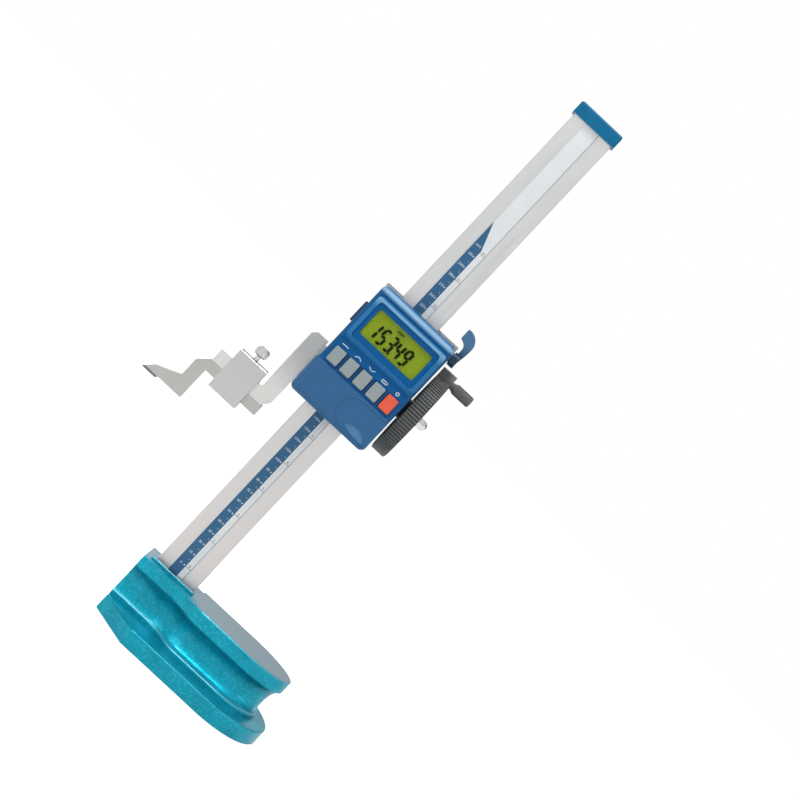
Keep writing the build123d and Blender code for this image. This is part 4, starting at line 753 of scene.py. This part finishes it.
def film_tone(tree):
    """The scale film's blue band, which ends on a slope, beside its white one."""
    x, z = place(tree, 0), place(tree, 2)
    leaning = product(tree, calc(tree, "SUBTRACT", BAND_EDGE, x), BAND_SLOPE)
    under = calc(tree, "LESS_THAN", calc(tree, "SUBTRACT", z, leaning), BAND_TOP)
    band = product(tree, under, calc(tree, "LESS_THAN", x, BAND_EDGE))
    film = blend(tree, band, paint(246, 250, 252), paint(46, 106, 148))
    edge = calc(tree, "GREATER_THAN", x, EDGE_LINE)
    return blend(tree, edge, film, paint(70, 90, 110))


# Operators


class GAUGE_OT_base(bpy.types.Operator):
    """Hammered enamel on the base casting, with its ground tops"""

    bl_idname = "gauge.base"
    bl_label = "Base"

    def execute(self, context):
        finish = Finish(
            "Hammered enamel", Coat_Weight=0.3, Coat_Roughness=0.12, Specular_IOR_Level=0.1
        )
        tree = finish.tree
        # The flakes' brighter colour is a painted glint
        flake = finish.effect(
            "Flake",
            Color=tuple(context.scene.gauge_colors.enamel),
            Flake_Color=paint(56, 226, 240),
            Scale=950.0,
            Amount=0.4,
        )
        ground_top = finish.effect(
            "Grain",
            Color=paint(122, 156, 172),
            Stretch=(200.0, 3500.0, 200.0),
            Tone=0.1,
            Roughness=0.3,
        )
        x, y, z = place(tree, 0), place(tree, 1), place(tree, 2)
        high = calc(tree, "GREATER_THAN", z, GROUND_FROM)
        level = calc(tree, "GREATER_THAN", upward(tree), 0.9)
        # Enamel runs over the block's edge up to the clamp plate
        plate_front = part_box("column_clamp_plate")[0][1]
        beside = calc(tree, "GREATER_THAN", x, BLOCK_END)
        behind = calc(tree, "GREATER_THAN", y, plate_front - 0.2 * MM)
        top = product(tree, level, high, calc(tree, "MAXIMUM", beside, behind))
        # Painted shade and painted light in the enamel's colour
        enamel = blend(tree, 1.0, flake["Color"], enamel_depth(tree, z), "MULTIPLY")
        # Painted highlights along the edges and on the lip's crest
        enamel = blend(tree, enamel_edges(tree, x, z), enamel, paint(136, 220, 234))
        finish.feed(
            Base_Color=blend(tree, top, enamel, ground_top["Color"]),
            Metallic=span(tree, top, 0.0, 1.0, 0.5, 0.9),
            Roughness=span(tree, top, 0.0, 1.0, 0.34, 0.3),
        )
        finish.bump(flake["Height"], 0.6, 0.12 * MM)
        dress(finish.material, "base_casting", "column_clamp_plate")
        return {"FINISHED"}


class GAUGE_OT_metals(bpy.types.Operator):
    """Ground, brushed and polished metal parts"""

    bl_idname = "gauge.metals"
    bl_label = "Metals"

    def execute(self, context):
        steel = tuple(context.scene.gauge_colors.steel)
        # The way that each piece's grinding lines run
        upright = (2200.0, 2200.0, 90.0)
        forwards = (2200.0, 90.0, 2200.0)
        sideways = (90.0, 2200.0, 2200.0)

        # Painted light: the column is lighter towards the top
        def column_tone(tree):
            return rise(tree, COLUMN_RISE, paint(220, 216, 214), paint(232, 233, 233))

        # Painted shade: the jaw is darker towards the top
        def jaw_tone(tree):
            return rise(tree, JAW_RISE, paint(231, 229, 227), paint(192, 194, 195))

        column = ground("Column steel", column_tone, (2500.0, 2500.0, 25.0), 0.36, 0.02, 0.06)
        dress(column, "column")
        satin = ground("Satin steel", steel, upright, 0.34, 0.05, 0.08)
        dress(satin, "scriber", "slider_frame")
        dress(ground("Jaw steel", jaw_tone, upright, 0.34, 0.05, 0.08), "measuring_jaw")
        dress(ground("Clamp steel", clamp_tone, forwards, 0.38, 0.05, 0.08), "scriber_clamp")
        gear = ground("Gear steel", paint(150, 150, 152), sideways, 0.3, 0.08)
        dress(gear, "rack", "drive_pinion", "pinion_shaft", "pinion_pin")
        dress(ground("Hard metal", paint(130, 128, 128), sideways, 0.25), "carbide_tip")
        bright = ground("Bright steel", paint(232, 231, 230), (900.0,) * 3, 0.12, 0.03, 0.04)
        dress(bright, "wheel_nut", "wheel_washer", "thumb_screw")
        dress(
            ground("Blackened steel", paint(95, 95, 98), (1200.0,) * 3, 0.35, 0.1),
            "column_screws",
            "rack_screws",
            "gib_screws",
            "shaft_end_screw",
            "handle_pin",
            "lock_screw",
            "housing_screws",
            "jaw_screws",
        )
        brass = ground("Bush brass", paint(205, 170, 100), (1500.0,) * 3, 0.3)
        dress(brass, "gib_strip", "shaft_bushes", "battery_contact")
        cell = ground("Cell can", paint(215, 214, 212), (500.0,) * 3, 0.28, 0.02, 0.03)
        dress(cell, "battery")
        alloy = ground("Dark alloy", paint(120, 122, 126), (60.0, 1800.0, 1800.0), 0.4)
        dress(alloy, "display_backplate")
        return {"FINISHED"}


class GAUGE_OT_plastics(bpy.types.Operator):
    """Housing, wheel, lever, buttons and the parts inside"""

    bl_idname = "gauge.plastics"
    bl_label = "Plastics"

    def execute(self, context):
        colors = context.scene.gauge_colors
        gloss = {"Coat_Weight": 0.06, "Coat_Roughness": 0.16, "Specular_IOR_Level": 0.2}
        housing = Finish("Housing blue", **gloss)
        tone = housing_tone(housing.tree, colors)
        housing.coat("Mottle", Color=tone, Scale=120.0, Tone=0.04, Roughness=0.36)
        housing.bump(housing.effect("Mottle", Scale=5000.0)["Height"], 0.12, 0.03 * MM)
        dress(housing.material, "display_housing")

        def door_tone(tree):
            """The door's blue, with a painted highlight in its thumb recess."""
            sunk = calc(tree, "GREATER_THAN", place(tree, 1), DOOR_RECESS)
            return blend(tree, sunk, tuple(colors.housing), paint(92, 144, 188))

        def lever_tone(tree):
            return rise(tree, LEVER_RISE, paint(24, 66, 98), paint(80, 127, 170))

        dress(moulded("Door blue", door_tone, 0.36, 0.04, 120.0, 0.0, **gloss), "battery_door")
        dress(moulded("Cover blue", paint(34, 66, 100), 0.5), "port_cover")
        dress(moulded("Cap blue", paint(10, 114, 162), 0.35, Specular_IOR_Level=0.25), "top_cap")
        gloss = {"Coat_Weight": 0.25, "Coat_Roughness": 0.15, "Specular_IOR_Level": 0.3}
        dress(moulded("Lever blue", lever_tone, 0.3, 0.05, 250.0, 0.0, **gloss), "lock_lever")
        black = {"Specular_IOR_Level": 0.35}
        dress(moulded("Wheel black", wheel_tone, 0.42, 0.08, 250.0, 0.0, **black), "crank_wheel")
        dress(moulded("Grip black", paint(119, 121, 123), 0.42, 0.08, **black), "crank_grip")
        soft = {"Specular_IOR_Level": 0.3}
        button = moulded("Button grey", paint(164, 176, 179), 0.5, 0.03, **soft)
        dress(button, "button_1", "button_2", "button_3", "button_4")
        dress(moulded("Button red", paint(255, 106, 82), 0.45, 0.03, **soft), "button_5")
        dress(lit_face("Display face", colors), "lcd_module")
        dress(moulded("Board green", paint(20, 95, 60), 0.4), "circuit_board", "read_head")
        dress(moulded("Switch black", paint(30, 30, 30), 0.5), "dome_switches", "data_connector")
        clear = {"Alpha": 0.03, "Specular_IOR_Level": 0.05}
        window = moulded("Window", paint(235, 240, 225), 0.08, 0.01, 80.0, 0.0, **clear)
        window.surface_render_method = "BLENDED"
        dress(window, "lcd_window")
        return {"FINISHED"}


class GAUGE_OT_scale(bpy.types.Operator):
    """Printed scale: its bands, dots, ticks and numbers"""

    bl_idname = "gauge.scale"
    bl_label = "Scale"

    def execute(self, context):
        sizes = context.scene.gauge_print
        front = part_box("scale_strip")[0][1]
        need(front < 0.01, "the scale strip is not where it was")
        dress(moulded("Scale film", film_tone, 0.38, 0.03, 90.0, 0.0), "scale_strip")

        white = moulded("White print", paint(236, 240, 244), 0.4, 0.02)
        dark = moulded("Dark print", paint(60, 70, 85), 0.4, 0.02)
        tree = build_marks_tree()
        marks = {"Y": front - INK / 2 + PRINT_OVERLAP / 4, "Thickness": PRINT_OVERLAP}
        dots = {**marks, "Pitch": sizes.pitch, "X": DOTS_X, "Round": True}
        whole = {**dots, "Count": DIVISIONS, "Z": ZERO_MARK, "Width": sizes.dot}
        row_of_marks("scale_dots", tree, white, whole)
        half = {
            **dots,
            "Count": DIVISIONS - 1,
            "Z": ZERO_MARK + sizes.pitch / 2,
            "Width": sizes.dot * HALF_DOT_SHARE,
        }
        row_of_marks("scale_half_dots", tree, white, half)
        ticks = {
            **marks,
            "Count": INCH_DIVISIONS,
            "Pitch": INCH,
            "X": TICKS_X,
            "Z": ZERO_MARK,
            "Width": TICK_WIDTH,
            "Height": TICK_HEIGHT,
            "Round": False,
        }
        row_of_marks("scale_inch_ticks", tree, dark, ticks)

        shape = bmesh.new()
        size = sizes.number_height
        for number in range(DIVISIONS):
            z = ZERO_MARK + number * sizes.pitch
            lettering(shape, str(number * 10), size, NUMBERS_X, z, front)
        lettering(shape, "mm", size * 1.1, *UNIT_PLACE, front)
        mesh = mesh_of(shape, "scale_numbers")
        finished("scale_numbers", mesh, white, "stand")
        shape = bmesh.new()
        for number in range(INCH_DIVISIONS):
            z = ZERO_MARK + number * INCH + INCH_NUMBER_RISE
            lettering(shape, str(number), size, TICKS_X, z, front)
        mesh = mesh_of(shape, "scale_inch_numbers")
        finished("scale_inch_numbers", mesh, dark, "stand")
        return {"FINISHED"}


# The strokes that each figure on the display shows
SEGMENTS = {"1": "bc", "3": "abcdg", "4": "bcfg", "5": "acdfg", "9": "abcdfg"}


def segment_outlines(width, height, thick):
    """The strokes of a figure, each a bar with pointed ends, in X and Z."""
    half, gap = thick / 2, thick * 0.07
    middle = height / 2

    def level_bar(z):
        left, right = half + gap, width - half - gap
        return [
            (left, z),
            (left + half, z - half),
            (right - half, z - half),
            (right, z),
            (right - half, z + half),
            (left + half, z + half),
        ]

    def upright_bar(x, low, high):
        low, high = low + half + gap, high - half - gap
        return [
            (x, low),
            (x + half, low + half),
            (x + half, high - half),
            (x, high),
            (x - half, high - half),
            (x - half, low + half),
        ]

    return {
        "a": level_bar(height - half),
        "g": level_bar(middle),
        "d": level_bar(half),
        "b": upright_bar(width - half, middle - half, height),
        "c": upright_bar(width - half, 0, middle + half),
        "f": upright_bar(half, middle - half, height),
    }


class GAUGE_OT_display(bpy.types.Operator):
    """Lit face and figures of the display"""

    bl_idname = "gauge.display"
    bl_label = "Display"

    def execute(self, context):
        sizes = context.scene.gauge_print
        (left, front, low), (right, back, high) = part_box("lcd_window")
        # The lit face stands clear of the window's back, because faces that meet there
        # render as grain
        shape = bmesh.new()
        outline = rounded_outline(left, right, low, high, WINDOW_RADIUS)
        slab(shape, outline, back - LIT_FACE[0], back - LIT_FACE[1])
        face = lit_face("Display film", context.scene.gauge_colors)
        finished("display_face", mesh_of(shape, "display_face"), face, "slider")

        ink = moulded("Display ink", paint(24, 38, 14), 0.5, 0.02, Specular_IOR_Level=0.05)
        planes = (front - INK, front + INK)
        bars = segment_outlines(FIGURE_WIDTH, sizes.digit_height, FIGURE_STROKE)
        lean = math.tan(sizes.slant)
        shape = bmesh.new()
        for figure, start in FIGURES:
            for letter in SEGMENTS[figure]:
                bar = [(start * MM + x + z * lean, FIGURES_FOOT + z) for x, z in bars[letter]]
                slab(shape, bar, *planes)
        point = [(x, FIGURES_FOOT + POINT_HALF) for x in POINT_ENDS]
        stroke(shape, point, 2 * POINT_HALF, *planes)
        # The unit, as two letters of three legs
        for start in UNIT_LEFTS:
            end, middle = start + UNIT_WIDTH, start + UNIT_WIDTH / 2
            arch = [(start, UNIT_LOW), (start, UNIT_HIGH), (end, UNIT_HIGH), (end, UNIT_LOW)]
            stroke(shape, arch, UNIT_STROKE, *planes)
            stroke(shape, [(middle, UNIT_HIGH), (middle, UNIT_LOW)], UNIT_STROKE, *planes)
        mesh = mesh_of(shape, "display_figures")
        finished("display_figures", mesh, ink, "slider")
        return {"FINISHED"}


# Plain symbols over the first four buttons, as paths in units
SYMBOLS = (
    [(-1.6, 0), (1.6, 0)],
    [(-1.6, -0.45), (0, 0.45), (1.6, -0.45)],
    [(-1.6, 0.45), (0, -0.45), (1.6, 0.45)],
    [(-1.5, -0.5), (1.5, -0.5), (1.5, 0.5), (-1.5, 0.5), (-1.5, -0.5)],
)


class GAUGE_OT_panel_print(bpy.types.Operator):
    """Plain symbols printed over the buttons"""

    bl_idname = "gauge.panel_print"
    bl_label = "Panel print"

    def execute(self, context):
        light = moulded("White panel print", paint(244, 250, 255), 0.4, 0.02)
        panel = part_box("display_housing")[0][1] + PANEL_SINK
        planes = (panel - INK, panel + INK)
        middles = [BUTTON_MIDDLE + (index - 2) * BUTTON_PITCH for index in range(5)]
        shape = bmesh.new()
        for x, corners in zip(middles, SYMBOLS):
            path = [(x + a * SYMBOL_UNIT, SYMBOL_Z + b * SYMBOL_UNIT) for a, b in corners]
            stroke(shape, path, SYMBOL_STROKE, *planes)
        ring(shape, middles[-1], SYMBOL_Z, RING_RADII, *planes)
        mesh = mesh_of(shape, "button_symbols")
        finished("button_symbols", mesh, light, "slider")
        return {"FINISHED"}


class GAUGE_OT_stage(bpy.types.Operator):
    """White room, soft lamps, and the camera of the photograph"""

    bl_idname = "gauge.stage"
    bl_label = "Stage"

    def execute(self, context):
        scene = context.scene
        sizes = scene.gauge_stage
        self.make_room(scene, sizes.room)
        self.make_floor(scene)
        aim = Vector(LAMPS_AIM)
        for name, power, spot, size in (
            ("Key", sizes.key, (-1.1, -1.5, 1.3), 2.4),
            ("Top", sizes.top, (-0.15, -0.45, 1.65), 0.38),
            ("Right", sizes.key * 0.24, (1.5, -0.9, 0.5), 1.0),
            ("Back", sizes.key * 0.55, (-0.5, 1.6, 1.2), 1.2),
        ):
            lamp = bpy.data.lights.new(name, "AREA")
            lamp.energy = power
            lamp.shape = "DISK"
            lamp.size = size
            holder = bpy.data.objects.new(name, lamp)
            holder.location = spot
            holder.rotation_euler = (aim - Vector(spot)).to_track_quat("-Z", "Y").to_euler()
            scene.collection.objects.link(holder)
        self.make_camera(scene)
        scene.view_settings.view_transform = "Standard"
        return {"FINISHED"}

    def make_room(self, scene, room):
        """A white room, dimmer on the object than to the camera."""
        world = bpy.data.worlds.new("White room")
        scene.world = world
        world.use_nodes = True
        tree = world.node_tree
        tree.nodes.clear()
        path = wire(tree, "ShaderNodeLightPath").outputs
        seen = calc(tree, "MAXIMUM", path["Is Camera Ray"], path["Is Transmission Ray"])
        strength = span(tree, seen, 0.0, 1.0, room, 1.0)
        # Polished parts mirror a pale room with a dark band under the horizon and a dark
        # strip on each side
        ways = wire(tree, "ShaderNodeTexCoord").outputs["Generated"]
        ways = wire(tree, "ShaderNodeSeparateXYZ", {0: ways}).outputs
        height = span(tree, ways[2], -0.12, 0.7, 0.7, 0.78)
        sideways = span(tree, ways[0], -0.9, 0.9, 0.86, 0.8)
        band = span(tree, between(tree, ways[2], -0.5, -0.14), 0.0, 1.0, 1.0, 0.3)
        flank = between(tree, calc(tree, "ABSOLUTE", ways[0]), 0.68, 0.94)
        flank = span(tree, flank, 0.0, 1.0, 1.0, 0.3)
        mirrored = product(tree, height, band, sideways, flank)
        inputs = {0: path["Is Glossy Ray"], 2: strength, 3: mirrored}
        strength = wire(tree, "ShaderNodeMix", inputs).outputs[0]
        inputs = {"Color": (1, 1, 1, 1), "Strength": strength}
        background = wire(tree, "ShaderNodeBackground", inputs)
        wire(tree, "ShaderNodeOutputWorld", {0: background.outputs[0]})

    def make_floor(self, scene):
        """A white floor that keeps the object's shadow."""
        mesh = bpy.data.meshes.new("Floor")
        shape = bmesh.new()
        bmesh.ops.create_circle(shape, cap_ends=True, segments=64, radius=FLOOR_RADIUS)
        shape.to_mesh(mesh)
        shape.free()
        floor = bpy.data.objects.new("Floor", mesh)
        floor.location.z = -FLOOR_GAP
        scene.collection.objects.link(floor)
        finish = Finish("Floor white", Roughness=0.9, Specular_IOR_Level=0.0)
        tree = finish.tree
        white = (0.93, 0.93, 0.93, 1)
        noise = finish.effect("Mottle", Color=white, Scale=2.0, Tone=0.01, Roughness=0.9)
        path = wire(tree, "ShaderNodeLightPath").outputs
        finish.shader.inputs["Emission Color"].default_value = (1, 1, 1, 1)
        to_camera = span(tree, path["Is Camera Ray"], 0.0, 1.0, 0.0, 0.78)
        to_gloss = span(tree, path["Is Glossy Ray"], 0.0, 1.0, 0.0, 0.3)
        lift = calc(tree, "ADD", to_camera, to_gloss)
        finish.feed(Base_Color=noise["Color"], Emission_Strength=lift)
        mesh.materials.append(finish.material)

    def make_camera(self, scene):
        """The camera that fits the photograph."""
        level = math.cos(CAMERA_PITCH)
        forward = Vector(
            (math.sin(CAMERA_YAW) * level, math.cos(CAMERA_YAW) * level, math.sin(CAMERA_PITCH))
        )
        right = Vector((math.cos(CAMERA_YAW), -math.sin(CAMERA_YAW), 0.0))
        up = right.cross(forward)
        side = right * math.cos(CAMERA_ROLL) + up * math.sin(CAMERA_ROLL)
        head = up * math.cos(CAMERA_ROLL) - right * math.sin(CAMERA_ROLL)
        camera = bpy.data.objects.new("Camera", bpy.data.cameras.new("Camera"))
        camera.data.lens = CAMERA_LENS
        camera.data.shift_x, camera.data.shift_y = CAMERA_SHIFT
        camera.data.sensor_width = 36.0
        camera.data.clip_end = 50.0
        rotation = Matrix((side, head, -forward)).transposed().to_4x4()
        camera.matrix_world = Matrix.Translation(CAMERA_PLACE) @ rotation
        scene.collection.objects.link(camera)
        scene.camera = camera


class GAUGE_PT_panel(bpy.types.Panel):
    """Lists the steps and their settings"""

    bl_label = "Height gauge"
    bl_idname = "GAUGE_PT_panel"
    bl_space_type = "VIEW_3D"
    bl_region_type = "UI"
    bl_category = "Height gauge"

    def draw(self, context):
        layout = self.layout
        for step in STEPS:
            layout.operator(step.bl_idname)
        for holder in SETTINGS:
            settings = getattr(context.scene, holder)
            for key in settings.bl_rna.properties.keys():
                if key not in ("rna_type", "name"):
                    layout.prop(settings, key)


SETTINGS = {"gauge_colors": GaugeColors, "gauge_print": GaugePrint, "gauge_stage": GaugeStage}
STEPS = (
    GAUGE_OT_base,
    GAUGE_OT_metals,
    GAUGE_OT_plastics,
    GAUGE_OT_scale,
    GAUGE_OT_display,
    GAUGE_OT_panel_print,
    GAUGE_OT_stage,
)
CLASSES = (*SETTINGS.values(), *STEPS, GAUGE_PT_panel)


def register():
    """Registers the classes and their settings on the scene."""
    for cls in CLASSES:
        bpy.utils.register_class(cls)
    for holder, cls in SETTINGS.items():
        setattr(bpy.types.Scene, holder, bpy.props.PointerProperty(type=cls))


def unregister():
    """Takes the settings and the classes away again."""
    for holder in SETTINGS:
        delattr(bpy.types.Scene, holder)
    for cls in reversed(CLASSES):
        bpy.utils.unregister_class(cls)


def main():
    """Runs every step."""
    register()
    for step in STEPS:
        group, name = step.bl_idname.split(".")
        getattr(getattr(bpy.ops, group), name)()


if __name__ == "__main__":
    main()
